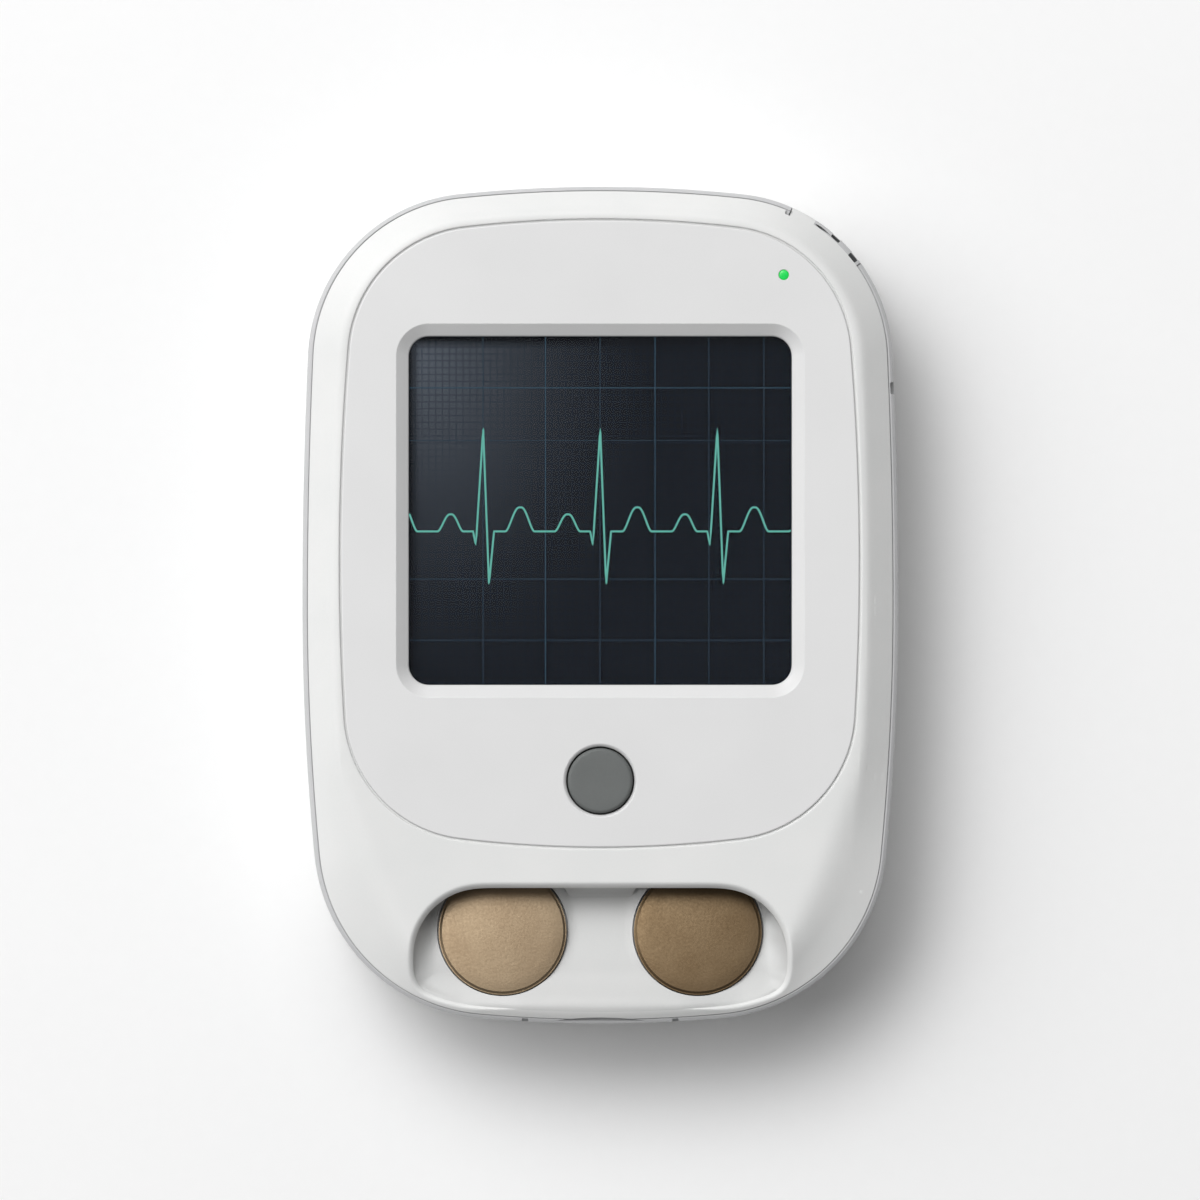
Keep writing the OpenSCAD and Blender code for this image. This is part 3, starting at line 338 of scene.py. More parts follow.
def addNode(tree, kind, settings=None, links=None):
    # a link's source is a socket, or a node whose first output is meant
    node = tree.nodes.new(kind if "Node" in kind else "ShaderNode" + kind)
    for own in (True, False):
        for key, value in (settings or {}).items():
            if own == (isinstance(key, str) and hasattr(node, key)):
                if own:
                    setattr(node, key, value)
                else:
                    node.inputs[key].default_value = value
    for key, source in (links or {}).items():
        tree.links.new(getattr(source, "outputs", [source])[0], node.inputs[key])
    return node


def newMaterial(name):
    made = bpy.data.materials.new(name)
    made.use_nodes = True
    made.node_tree.nodes.clear()
    return made, made.node_tree, addNode(made.node_tree, "TexCoord").outputs["Object"]


def finished(made, settings, links):
    shader = addNode(made.node_tree, "BsdfPrincipled", settings, links)
    addNode(made.node_tree, "OutputMaterial", None, {"Surface": shader})
    return made


def speckled(name, base, second, roughness, grain, depth, metallic=0.0, patch=6.0, spread=0.08, **sockets):
    # A finish with two tones in soft patches, a fine grain and uneven gloss. Grain, depth and patch are in mm
    made, tree, place = newMaterial(name)
    tone = addNode(tree, "TexNoise", {"Scale": 1 / (patch * mm), "Detail": 3.0}, {"Vector": place})
    fine = addNode(tree, "TexNoise", {"Scale": 1 / (grain * mm), "Detail": 2.0}, {"Vector": place})
    blend = addNode(tree, "Math", {"operation": "MULTIPLY_ADD", 1: 0.45}, {0: fine, 2: tone})
    mix = addNode(tree, "MapRange", {"From Min": 0.45, "From Max": 1.0}, {"Value": blend})
    colour = addNode(tree, "Mix", {"data_type": "RGBA", 6: linear(base), 7: linear(second)}, {0: mix})
    gloss = addNode(tree, "MapRange", {"To Min": roughness - spread, "To Max": roughness + spread}, {"Value": fine})
    bump = addNode(tree, "Bump", {"Strength": 0.5, "Distance": depth * mm}, {"Height": fine})
    return finished(made, {"Metallic": metallic, **sockets},
                    {"Base Color": colour.outputs[2], "Roughness": gloss, "Normal": bump})


# Moulded ABS, fine spark-eroded texture: a soft white that spreads its highlight
whiteAbs = speckled("moulded_white_abs", "#E3E3E2", "#DEDFDE", 0.46, 0.22, 0.004, patch=9)
# The scoop's faces: the same white painted a shade darker, as painted shade in the recess
scoopShadeAbs = speckled("moulded_white_abs_painted_scoop_shade", "#CECECD", "#C9CAC9", 0.5, 0.22, 0.004, patch=9)
# Satin polycarbonate inlay: a shade greyer than the shell and a little smoother
satinPlate = speckled("satin_polycarbonate", "#E0E0E0", "#DCDCDC", 0.42, 0.18, 0.003, patch=12)
# Painted band: cool light grey with a fleck too fine to see as such
greyBand = speckled("painted_grey_band", "#C8C8C9", "#C1C2C3", 0.38, 0.2, 0.004, patch=7)
# Blasted bronze electrodes: warm brown metal with a sandy sparkle, in a lit and a shaded copy: the right one is
# painted darker as painted shade
bronzeLitAndShaded = {side: speckled("blasted_bronze_lit_and_shaded_" + side, *tones, 0.44, 0.3, 0.02, metallic=1.0, patch=5, spread=0.1)
          for side, tones in (("left", ("#918069", "#84725C")), ("right", ("#705F49", "#62513C")))}
# Moulded elastomer cap: dead matt mid grey
greyRubber = speckled("matt_grey_elastomer", "#666968", "#616463", 0.62, 0.2, 0.005, patch=4)
# Rubber feet: near black, dusty and matt
blackRubber = speckled("black_rubber", "#1E1E20", "#26262A", 0.75, 0.3, 0.01, patch=2)
# Moulded nylon, half matt with a faint grain: the black is the nylon's own colour, the dark grey is painted shade
# lining the strap pocket
blackPlastic = speckled("black_nylon", "#17171A", "#1F1F22", 0.5, 0.25, 0.006, patch=4)
pocketShadeGrey = speckled("dark_grey_pocket_shade", "#47484A", "#505153", 0.5, 0.25, 0.006, patch=4)
# Nickelled sheet and screws: bright cool metal, slightly clouded
stampedSteel = speckled("nickelled_steel", "#B9BABC", "#A9AAAD", 0.3, 0.35, 0.004, metallic=1.0, patch=3)
# Gold flash on contacts and springs: warm, smooth and bright
goldContact = speckled("gold_plated_contact", "#D9B45A", "#CFA84C", 0.25, 0.3, 0.002, metallic=1.0, patch=2)
# Epoxy chip packages: charcoal with a gritty matt surface
chipResin = speckled("black_epoxy_chip", "#1B1B1D", "#242427", 0.55, 0.12, 0.006, patch=2)
# Cut foam: black, open-celled and without shine
foam = speckled("black_gasket_foam", "#222224", "#303033", 0.85, 0.25, 0.03, patch=1)
# Acrylic light guide: pale, cool and glossy
lightGuide = speckled("acrylic_light_guide", "#E6EBEE", "#D8E0E6", 0.2, 0.8, 0.002, patch=10)
# Polyimide film and tape: glossy amber
polyimide = speckled("amber_polyimide", "#C98B2E", "#B87A22", 0.3, 0.5, 0.002, patch=3)
# Nylon of the plugs: cream, half matt
connectorNylon = speckled("cream_nylon_connector", "#E4DECB", "#D9D2BC", 0.5, 0.3, 0.004, patch=3)
# Crinkled aluminium pouch of the cell: dull silver
pouchFoil = speckled("aluminium_pouch_foil", "#C2C5C8", "#B2B5B9", 0.33, 0.9, 0.03, metallic=1.0, patch=5)
# Silicone lead jackets and plunger: deep red with a soft shine
leadRed = speckled("red_silicone_lead", "#A81E1A", "#961814", 0.45, 0.2, 0.003, patch=2)
# Status lens: clear green lit from inside
glowGreen = speckled("lit_green_acrylic", "#17B54A", "#1CC653", 0.25, 0.3, 0.001, patch=0.8,
                     **{"Emission Color": linear("#16C84C"), "Emission Strength": 0.35})


def boardMaterial():
    # Solder-masked circuit board: glossy green with thin paler tracks on a 1.27 mm pitch
    made, tree, place = newMaterial("green_solder_mask")
    tracks = addNode(tree, "TexBrick",
                     {"Color1": linear("#0E4A30"), "Color2": linear("#124F34"), "Mortar": linear("#2C7A50"),
                      "Scale": 1 / (1.27 * mm), "Mortar Size": 0.03, "Brick Width": 3.0, "Row Height": 1.0},
                     {"Vector": place})
    fine = addNode(tree, "TexNoise", {"Scale": 1 / (0.5 * mm)}, {"Vector": place})
    gloss = addNode(tree, "MapRange", {"To Min": 0.22, "To Max": 0.36}, {"Value": fine})
    bump = addNode(tree, "Bump", {"Strength": 0.4, "Distance": 0.03 * mm}, {"Height": tracks.outputs["Fac"]})
    return finished(made, None, {"Base Color": tracks, "Roughness": gloss, "Normal": bump})


solderMask = boardMaterial()

screen = {
    "width": 47.8, "height": 43.5, "y": 11.8, "corner": 2.5, "bevel": 1.5, "bevelDepth": 1.2, "bevelSoft": 0.12,
    "glassTop": 18.0, "glassLow": 17.0, "glassEdge": 0.9, "glassCorner": 3.4, "glassRound": 0.08, "panelTop": 16.5,
    "meshPitch": 0.854, "meshAt": {"X": -14.58, "Y": 27.1}, "meshShare": 0.42,
    # centre and spread in mm of the painted reflection, lighter towards the upper left
    "paintedReflectionAt": (-22.2, 30.6), "paintedReflectionSize": (32, 44),
    # across the left and the upper edge: where the shade starts, where it ends, and what is left of the light
    "shadeX": (-23.75, -22.5, 0.05), "shadeY": (33.25, 32.0, 0.0),
}


def pictureMaterial():
    # A liquid-crystal panel lit from behind: near-black navy with the faint mesh of a chart, with a painted
    # reflection that brightens it towards the upper left and painted shade along the left and upper edges
    made, tree, place = newMaterial("lit_display_panel")
    axes = addNode(tree, "SeparateXYZ", None, {0: place})
    lines, shades = [], []
    for axis, shift in screen["meshAt"].items():
        moved = addNode(tree, "Math", {"operation": "SUBTRACT", 1: shift * mm}, {0: axes.outputs[axis]})
        saw = addNode(tree, "Math", {"operation": "PINGPONG", 1: screen["meshPitch"] * mm / 2}, {0: moved})
        lines.append(addNode(tree, "MapRange", {"From Min": 0.06 * mm, "From Max": 0.14 * mm, "To Min": 1.0,
                                                "To Max": 0.0}, {"Value": saw}))
        start, stop, least = screen["shade" + axis]
        shades.append(addNode(tree, "MapRange", {"From Min": start * mm, "From Max": stop * mm, "To Min": least},
                              {"Value": axes.outputs[axis]}))
    net = addNode(tree, "Math", {"operation": "MAXIMUM"}, dict(enumerate(lines)))
    # painted reflection: the dark ground lightened towards the upper left
    (reflectionX, reflectionY), (wide, tall) = screen["paintedReflectionAt"], screen["paintedReflectionSize"]
    moved = addNode(tree, "Mapping", {"Location": (-reflectionX * mm, -reflectionY * mm, 0)}, {"Vector": place})
    sized = addNode(tree, "Mapping", {"Scale": (1 / (wide * mm), 1 / (tall * mm), 0)}, {"Vector": moved})
    paintedReflection = addNode(tree, "TexGradient", {"gradient_type": "QUADRATIC_SPHERE"}, {"Vector": sized})
    ground = addNode(tree, "Mix", {"data_type": "RGBA", 6: linear("#060709"), 7: linear("#51565D")},
                     {0: paintedReflection.outputs["Fac"]})
    shade = addNode(tree, "Math", {"operation": "MULTIPLY"}, dict(enumerate(shades)))
    share = addNode(tree, "Math", {"operation": "MULTIPLY", 1: screen["meshShare"]}, {0: net})
    netted = addNode(tree, "Mix", {"data_type": "RGBA", 7: linear("#1A2531")}, {0: share, 6: ground.outputs[2]})
    shown = addNode(tree, "Mix", {"data_type": "RGBA", 6: linear("#050608")}, {0: shade, 7: netted.outputs[2]})
    return finished(made, {"Base Color": linear("#0B0C10"), "Roughness": 0.35, "Specular IOR Level": 0.0,
                           "Emission Strength": 1.0}, {"Emission Color": shown.outputs[2]})


def glowLine(name, base, second):
    # one colour of the picture's lines, uneven like the cells it is drawn with
    made, tree, place = newMaterial(name)
    cells = addNode(tree, "TexNoise", {"Scale": 1 / (0.25 * mm)}, {"Vector": place})
    shown = addNode(tree, "Mix", {"data_type": "RGBA", 6: linear(base), 7: linear(second)}, {0: cells})
    return finished(made, {"Base Color": linear("#0B0C10"), "Roughness": 0.5, "Specular IOR Level": 0.0,
                           "Emission Strength": 1.0}, {"Emission Color": shown.outputs[2]})


def glassMaterial():
    # Hardened cover glass with an anti-glare coat: clear, with a weak soft reflection
    made, tree, place = newMaterial("coated_cover_glass")
    smear = addNode(tree, "TexNoise", {"Scale": 1 / (14 * mm), "Detail": 4.0}, {"Vector": place})
    gloss = addNode(tree, "MapRange", {"To Min": 0.0, "To Max": 0.05}, {"Value": smear})
    return finished(made, {"Base Color": linear("#F2F5F8"), "Transmission Weight": 1.0, "IOR": 1.18},
                    {"Roughness": gloss})


picture = pictureMaterial()
coverGlass = glassMaterial()
traceGlow = glowLine("trace_glow", "#5FAA9B", "#6DBFAE")
gridClear = glowLine("grid_glow_clear", "#2C4453", "#34505F")
gridFaint = glowLine("grid_glow_faint", "#263642", "#2C3E4A")
print("materials made")

view = {"across": 150.0, "lens": 600.0, "sensor": 36.0, "focusHeight": 15.0, "x": -0.03, "y": 0.64}
cameraData = bpy.data.cameras.new("camera")
cameraData.lens, cameraData.sensor_width = view["lens"], view["sensor"]
camera = bpy.data.objects.new("camera", cameraData)
distance = view["across"] * view["lens"] / view["sensor"] + view["focusHeight"]
camera.location = (view["x"] * mm, view["y"] * mm, distance * mm)
cameraData.clip_start, cameraData.clip_end = 0.05, 20.0
scene.collection.objects.link(camera)
scene.camera = camera

light = {
    "sky": 0.21,
    "lamps": {  # share of the light on a flat surface, height and turn in degrees, size and distance in metres
        "key": {"share": 0.42, "height": 48.0, "turn": 144.0, "size": 2.4, "far": 2.0},
        "edge": {"share": 0.16, "height": 54.0, "turn": 128.0, "size": 1.0, "far": 2.0},
        "top": {"share": 0.20, "height": 58.0, "turn": 98.0, "size": 1.5, "far": 2.0},
    },
}
world = bpy.data.worlds.new("studio")
scene.world = world
world.use_nodes = True
world.node_tree.nodes.clear()
rays = addNode(world.node_tree, "LightPath")
seen = addNode(world.node_tree, "Math", {"operation": "MAXIMUM"},
               {0: rays.outputs["Is Camera Ray"], 1: rays.outputs["Is Transmission Ray"]})
strength = addNode(world.node_tree, "MapRange", {"To Min": light["sky"], "To Max": 1.0},
                   {"Value": seen})
backdrop = addNode(world.node_tree, "Background", {"Color": (1, 1, 1, 1)},
                   {"Strength": strength})
addNode(world.node_tree, "OutputWorld", None, {"Surface": backdrop})

for name, lamp in light["lamps"].items():
    rise, turn = math.radians(lamp["height"]), math.radians(lamp["turn"])
    aim = Vector((math.cos(rise) * math.cos(turn), math.cos(rise) * math.sin(turn), math.sin(rise)))
    spread = lamp["far"] ** 2 + (lamp["size"] / 2) ** 2
    data = bpy.data.lights.new(name, "AREA")
    data.shape, data.size = "DISK", lamp["size"]
    data.energy = lamp["share"] * math.pi ** 2 * spread / math.sin(rise)
    lampObject = bpy.data.objects.new(name, data)
    lampObject.location = aim * lamp["far"]
    lampObject.rotation_euler = aim.to_track_quat("Z", "Y").to_euler()
    scene.collection.objects.link(lampObject)
scene.view_settings.view_transform = "Standard"

floorShape = Shape().add([(-1500, -1500, 0), (1500, -1500, 0), (1500, 1500, 0), (-1500, 1500, 0)], [[0, 1, 2, 3]])
floorMesh = floorShape.mesh("floor")
floorMesh.materials.append(speckled("white_paper_sweep", "#F8F8F8", "#F6F6F6", 0.9, 2.0, 0.002, patch=60))
floorObject = bpy.data.objects.new("floor", floorMesh)
scene.collection.objects.link(floorObject)
print("camera, lamps and floor placed")

shell = {
    "bevelIn": 3.9, "endLess": 0.8, "bevelDrop": 2.6, "seamIn": 0.5, "edgeIn": 0.56, "sideIn": 0.14, "bevelSoft": 0.6,
    "cornerGrow": 5.0, "cornerSoft": 3.2,  # the bevel widens to a broad slope at the two lower corners
    "lipY": -34.9, "scoopRim": 1.5, "scoopTop": 8.5, "scoopLow": 5.5,
    "scoopTopAt": (14.9, -43.8), "scoopLowAt": (17.9, -45.25), "smoothings": 80,
    "depth": 4.0, "slope": 8.0, "lip": 1.5, "lipRound": 0.75, "lipCurve": 1.75, "sideFillet": 3.0, "filletRise": 0.72,
    "ridge": 0.7, "pocket": 9.2, "floorThick": 2.22, "ceiling": 16.4, "seat": 17.8, "grooveLow": 19.66,
    "dish": 0.45, "sunk": 0.9, "trench": 0.9, "meet": 0.35,
    "tongueOut": 1.9, "tongueIn": 3.1, "tongueLow": 15.6, "window": (49.9, 45.6, 3.4), "guide": 5.3, "lamp": 0.7,
    "tray": (50.4, 26.0, 4.0, 0, -43.3), "trayInset": 3.35,
}
electrode = {"x": 12.2, "y": -40.7, "radius": 8.0, "proud": -0.3, "sink": 2.0, "well": 8.2,
             "ledge": 0.14, "chamfer": 0.28, "drop": 0.16, "dome": 0.22,
             "underside": -1.1, "stem": 1.5, "stemEnd": -2.9}
button = {"y": -21.9, "radius": 4.05, "hole": 4.25, "bevel": 0.35, "top": 20.35, "round": 0.42,
          "flange": 5.0, "flangeLow": 17.15, "flangeTop": 17.95}
statusLight = {"x": 22.9, "y": 41.2, "radius": 0.6, "round": 0.1}
slope = math.tan(math.radians(shell["slope"]))
tilt = Matrix.Rotation(-math.radians(shell["slope"]), 4, "X")


def rampZ(y):
    return body["thick"] - shell["depth"] - (y - shell["lipY"]) * slope


def dishZ(xy):
    # the ramp as the eye sees it: a little below the discs' seats, and dished in the two lower corners
    xy = np.asarray(xy, float)
    low, aside = -xy[:, 1], np.abs(xy[:, 0])
    fade = 1 - smoothStep(45.5, 50.2, low)
    corner = smoothStep(44.5, 49.5, low) * smoothStep(9, 18, aside)
    trench = (smoothStep(18.5, 21.5, aside) + 1 - smoothStep(3.5, 5.5, aside)) * (1 - smoothStep(37.5, 46, low))
    meet = smoothStep(46.5, 50.5, low) * (1 - smoothStep(4, 20, aside))
    z = (rampZ(xy[:, 1]) - shell["sunk"] * fade - shell["dish"] * corner - shell["trench"] * trench
         + shell["meet"] * meet)
    # never below the seam's flat, which runs in to the tongue
    least = body["frontSeam"] + 0.04 - 0.9 * np.maximum(insetOf(bodyArcs, xy) - shell["tongueOut"], 0)
    return (z + least + np.sqrt((z - least) ** 2 + 0.03)) / 2


def faceZ(xy):
    # height of the bevelled face, before the scoop's rounding and the groove's
    xy = np.asarray(xy, float)
    d = insetOf(bodyArcs, xy)
    corner = smoothStep(16, 45, -xy[:, 1]) * smoothStep(19, 31, np.abs(xy[:, 0]))
    topEnd = 1 - smoothStep(14, 33, np.abs(xy[:, 0]))
    end = shell["bevelIn"] - shell["endLess"] * topEnd + shell["cornerGrow"] * corner
    soft = shell["bevelSoft"] + shell["cornerSoft"] * corner
    fall = shell["bevelDrop"] / (end - shell["seamIn"])
    x = end - d
    soft = np.minimum(soft, (end - shell["seamIn"]) * 0.8)
    drop = np.where(x > soft, fall * x, np.where(x > -soft, fall * (x + soft) ** 2 / (4 * soft), 0))
    return body["thick"] - drop


def narrowed(loop):
    # the seam lies further in at the long sides than at the ends
    return [(x * (1 - shell["sideIn"] / body["halfWidth"]), y) for x, y in loop]


def scoopLoop():
    ring = []
    (topX, topY), (lowX, lowY) = shell["scoopTopAt"], shell["scoopLowAt"]
    for cx, cy, r, a0 in ((topX, topY, shell["scoopTop"], 0), (-topX, topY, shell["scoopTop"], 90),
                          (-lowX, lowY, shell["scoopLow"], 180), (lowX, lowY, shell["scoopLow"], 270)):
        for i in range(31):
            t = math.radians(a0 + 3 * i)
            ring.append((cx + r * math.cos(t), cy + r * math.sin(t)))
    ring = resampled(ring, 0.2)
    ring = np.array([pushedIn(bodyArcs, p, shell["scoopRim"]) for p in ring])
    for _ in range(shell["smoothings"]):
        ring = (ring + (np.roll(ring, 1, axis=0) + np.roll(ring, -1, axis=0)) / 2) / 2
    return resampled(ring, 0.4)


rim = scoopLoop()
rimCount = len(rim)
wells = [(side * electrode["x"], electrode["y"]) for side in (-1, 1)]
inPocket = np.array([any(math.hypot(x - cx, y - cy) < shell["pocket"] for cx, cy in wells) and y > -41
                     for x, y in rim])
wallFull = faceZ(rim) - dishZ(rim)          # height of the wall before it is rounded
rimRound = np.clip(wallFull, 0.0, shell["lipRound"])
order = np.arange(rimCount)
free = np.full(rimCount, 1e9)
for i in order[inPocket]:
    gap = np.abs(order - i)
    free = np.minimum(free, np.minimum(gap, rimCount - gap) * 0.4)
filletShare = smoothStep(0.3, 4.0, free) * np.where((np.abs(rim[:, 0]) < 6) & (rim[:, 1] > -40), 0.0, 1.0)
wallRest = np.maximum(wallFull - rimRound, 0.0)
overshoot = np.minimum(wallFull, 0.0)       # where the floor would stand above the face it has to meet
ridgeShare = 1 - smoothStep(0.25, 0.9, wallFull)


def alongRim(values, which):
    low = np.floor(which).astype(int)
    t = which - low
    return values[low % rimCount] * (1 - t) + values[(low + 1) % rimCount] * t


def ridgeDrop(d, share):
    # rounds the crest where the scoop's floor meets the bevel at the bottom edge
    w = shell["ridge"]
    return share * 0.25 * w * np.clip(1 - d / w, 0, 1) ** 2


grooveLoop = outline(plateArcs, -plate["groove"] / 2)


def topZ(xy):
    xy = np.asarray(xy, float)
    z = faceZ(xy)
    d, which = nearestOn(rim, xy)
    r = alongRim(rimRound, which)
    e = np.clip(r - d, 0, None)
    z = z - r * (e / np.maximum(r, 1e-6)) ** shell["lipCurve"] - ridgeDrop(d, alongRim(ridgeShare, which))
    soft, inset = plate["grooveRound"], insetOf(plateArcs, xy)
    g = np.clip(soft - np.maximum(-plate["groove"] / 2 - inset, 0), 0, None)
    return z - np.where(inset > -1, soft - np.sqrt(np.maximum(soft ** 2 - g * g, 0)), 0)


def floorZ(xy):
    xy = np.asarray(xy, float)
    d, which = nearestOn(rim, xy)
    rest = alongRim(filletShare * wallRest, which)
    share = rest * (1 - (1 - shell["filletRise"]) * smoothStep(0.6, 1.6, rest))
    up = share * np.clip(1 - d / shell["sideFillet"], 0, 1) ** 2.3
    meet = alongRim(overshoot, which) * (1 - smoothStep(0.0, 1.8, d))
    return dishZ(xy) + up + meet - ridgeDrop(d, alongRim(ridgeShare, which))


def openRuns(loop, keep):
    # the stretches of a closed loop whose corners are kept
    loop, keep = list(map(tuple, loop)), list(keep)
    if all(keep):
        return [loop + loop[:1]]
    runs, run = [], []
    first = keep.index(False)
    for i in range(len(loop) + 1):
        j = (first + i) % len(loop)
        if keep[j]:
            run.append(loop[j])
        else:
            if len(run) > 1:
                runs.append(run)
            run = []
    return runs


def frontShell():
    made = Shape()
    edge = narrowed(outline(bodyArcs, shell["edgeIn"]))
    rings = []
    for d in (0.02, 0.06, 0.14, 0.25, 0.38, 0.52, 0.66, 0.76, 0.95):
        loop = offset(rim, d)
        rings += openRuns(loop, insetOf(bodyArcs, loop) > shell["edgeIn"] + 0.22)
    for inset in (0.8, 1.0, 1.4, 1.8, 2.3, 2.7, 3.0, 3.25, 3.5, 3.75, 4.0, 4.3):
        loop = outline(bodyArcs, inset)
        rings += openRuns(loop, (nearestOn(rim, loop)[0] > 1.05) & ~insideOf(rim, loop)
                          & (insetOf(plateArcs, loop) < -0.6))
    for out in (0.11, 0.13, 0.16, 0.2, 0.25, 0.4):
        loop = outline(plateArcs, -out)
        rings += openRuns(loop, [True] * len(loop))
    grid = np.array([(x, y) for x in np.arange(-36, 36.1, 0.9) for y in np.arange(-51, 2, 0.9)])
    d = insetOf(bodyArcs, grid)
    keep = (d > 0.9) & (nearestOn(rim, grid)[0] > 1.15) & ~insideOf(rim, grid) & (insetOf(plateArcs, grid) < -0.7)
    made.patch(edge, [grooveLoop, rim], topZ, rings, grid[keep])

    # round the edge, the tongue and the underside
    made.loft([atHeight(edge, topZ(edge)), atHeight(edge, body["frontSeam"])] + [
        atHeight(outline(bodyArcs, shell[inset]), z) for inset, z in (
            ("tongueOut", body["frontSeam"]), ("tongueOut", shell["tongueLow"]), ("tongueIn", shell["tongueLow"]),
            ("tongueIn", shell["ceiling"]))])
    # the groove's inner wall and the seat under the inlay
    shelf = outline(plateArcs, plate["groove"] / 2 - 0.012)
    made.loft([atHeight(grooveLoop, topZ(grooveLoop)), atHeight(grooveLoop, shell["grooveLow"]),
               atHeight(shelf, shell["grooveLow"]), atHeight(shelf, shell["seat"])])
    openings = [roundedRect(*shell["window"], 0, screen["y"]), circle(0, button["y"], shell["guide"]),
                circle(statusLight["x"], statusLight["y"], shell["lamp"], 32)]
    made.patch(shelf, openings, flatAt(shell["seat"]))
    for hole in openings:
        made.loft([atHeight(hole, shell["seat"]), atHeight(hole, shell["ceiling"])])
    # underside, with the scoop's tray hanging below it
    tray = [pushedIn(bodyArcs, p, shell["trayInset"]) for p in resampled(roundedRect(*shell["tray"]), 1.0)]
    trayIn = [tuple(p) for p in offset(tray, -0.08)]
    made.patch(outline(bodyArcs, shell["tongueIn"]), [*openings, tray], flatAt(shell["ceiling"]))

    def trayZ(xy):
        return rampZ(np.asarray(xy)[:, 1]) - shell["floorThick"]
    made.loft([atHeight(tray, shell["ceiling"]), atHeight(trayIn, trayZ(trayIn))])
    made.patch(trayIn, [], trayZ)

    # the scoop: walls, the pockets under the lip, and the floor
    underLip = body["thick"] - shell["lip"]
    upper = topZ(rim)
    lower = floorZ(rim)
    floorLoop = []
    for i in range(rimCount):
        j = (i + 1) % rimCount
        a, b = rim[i], rim[j]
        if inPocket[i] and inPocket[j]:
            made.add([(*a, upper[i]), (*b, upper[j]), (*b, underLip), (*a, underLip)], [[0, 1, 2, 3]])
            continue
        wall = [(*a, upper[i]), (*b, upper[j])]
        if inPocket[j]:
            wall.append((*b, underLip))
        wall += [(*b, lower[j]), (*a, lower[i])]
        if inPocket[i]:
            wall.append((*a, underLip))
        made.add(wall, [list(range(len(wall)))])
    for i in range(rimCount):
        if not inPocket[i]:
            floorLoop.append(tuple(rim[i]))
        elif not inPocket[i - 1]:
            # the run of this pocket, from here to its last corner
            run = [i]
            while inPocket[(run[-1] + 1) % rimCount]:
                run.append((run[-1] + 1) % rimCount)
            a, b = rim[run[0]], rim[run[-1]]
            cx, cy = min(wells, key=lambda w: abs(w[0] - (a[0] + b[0]) / 2))
            t0 = math.atan2(a[1] - cy, a[0] - cx)
            t1 = math.atan2(b[1] - cy, b[0] - cx)
            ends = [math.hypot(p[0] - cx, p[1] - cy) for p in (a, b)]
            steps = 40
            arc = []
            for k in range(steps + 1):
                t = t0 + (t1 - t0) * k / steps
                far = ends[k // steps] if k in (0, steps) else shell["pocket"]
                arc.append((cx + far * math.cos(t), cy + far * math.sin(t)))
            arc[0], arc[-1] = tuple(a), tuple(b)
            floorLoop += arc
            made.add(atHeight(arc, underLip) + atHeight(arc, floorZ(arc)),
                     [[k, k + 1, steps + 2 + k, steps + 1 + k] for k in range(steps)])
            ceiling = [tuple(rim[k]) for k in run] + arc[1:-1][::-1]
            made.patch(ceiling, [], flatAt(underLip))
    holes = []
    for cx, cy in wells:
        seat = Matrix.Translation((cx, cy, rampZ(cy))) @ tilt
        mouth = [seat @ Vector((x, y, 0)) for x, y in circle(0, 0, electrode["well"])]
        for p, z in zip(mouth, floorZ([(p.x, p.y) for p in mouth])):
            p.z = z
        deep = [seat @ Vector((x, y, -electrode["sink"])) for x, y in circle(0, 0, electrode["well"])]
        made.loft([[tuple(p) for p in mouth], [tuple(p) for p in deep]], capLast=True)
        holes.append([(p.x, p.y) for p in mouth])
    rings = []
    for d in (0.12, 0.3, 0.5, 0.7, 1.0, 1.35, 1.75, 2.15, 2.6, 3.0):
        loop = offset(rim, -d)
        keep = (nearestOn(rim, loop)[0] > d - 0.03) & ~inPocket & (filletShare + ridgeShare > 0.02)
        for hole in holes:
            keep &= nearestOn(hole, loop)[0] > 0.25
            keep &= ~insideOf(hole, loop)
        rings += openRuns(loop, keep)
    grid = np.array([(x, y) for x in np.arange(-26, 26.1, 0.6) for y in np.arange(-51, -33, 0.6)])
    keep = insideOf(floorLoop, grid) & (nearestOn(floorLoop, grid)[0] > 0.3)
    for hole in holes:
        keep &= ~insideOf(hole, grid) & (nearestOn(hole, grid)[0] > 0.3)
    for line in rings:
        keep &= nearestOn(line, grid, False)[0] > 0.3
    made.patch(floorLoop, holes, floorZ, rings, grid[keep])
    return made


def polar(arc, angle, inset, z, across=0.0):
    # a point at an angle on an arc's outline, moved in by the inset and sideways by across
    x, y, r = arc[:3]
    t = math.radians(angle)
    out = r - inset
    return (x + out * math.cos(t) - across * math.sin(t), y + out * math.sin(t) + across * math.cos(t), z)


def block(arc, angle, insetOut, insetIn, width, z0, z1, corner=0.15):
    # an upright prism across the outline, with small rounded corners on its inner end
    plan = []
    for i in range(7):
        t = math.radians(15 * i)
        plan.append((insetIn - corner + corner * math.sin(t), width / 2 - corner + corner * math.cos(t)))
    for i in range(7):
        t = math.radians(15 * i)
        plan.append((insetIn - corner + corner * math.cos(t), -(width / 2 - corner) - corner * math.sin(t)))
    plan += [(insetOut, -width / 2), (insetOut, width / 2)]
    return Shape().loft([[polar(arc, angle, d, z, w) for d, w in plan] for z in (z0, z1)], True, True)


strap = {"from": 36.0, "to": 66.0, "greyTo": 57.0, "slots": ((39.0, 0.66), (47.9, 0.52)), "slotWidth": 1.3,
         "low": 15.4, "lensFrom": 49.8, "lensTo": 56.8, "lensIn": 0.44, "lensWide": 0.13, "pocketLow": 13.0,
         "notchTurn": 66.7, "notch": 0.85, "notchOut": 0.44, "notchIn": 1.1}
cornerArc = bodyArcs[1]
clear = 22.0  # a height above everything, where cutters end


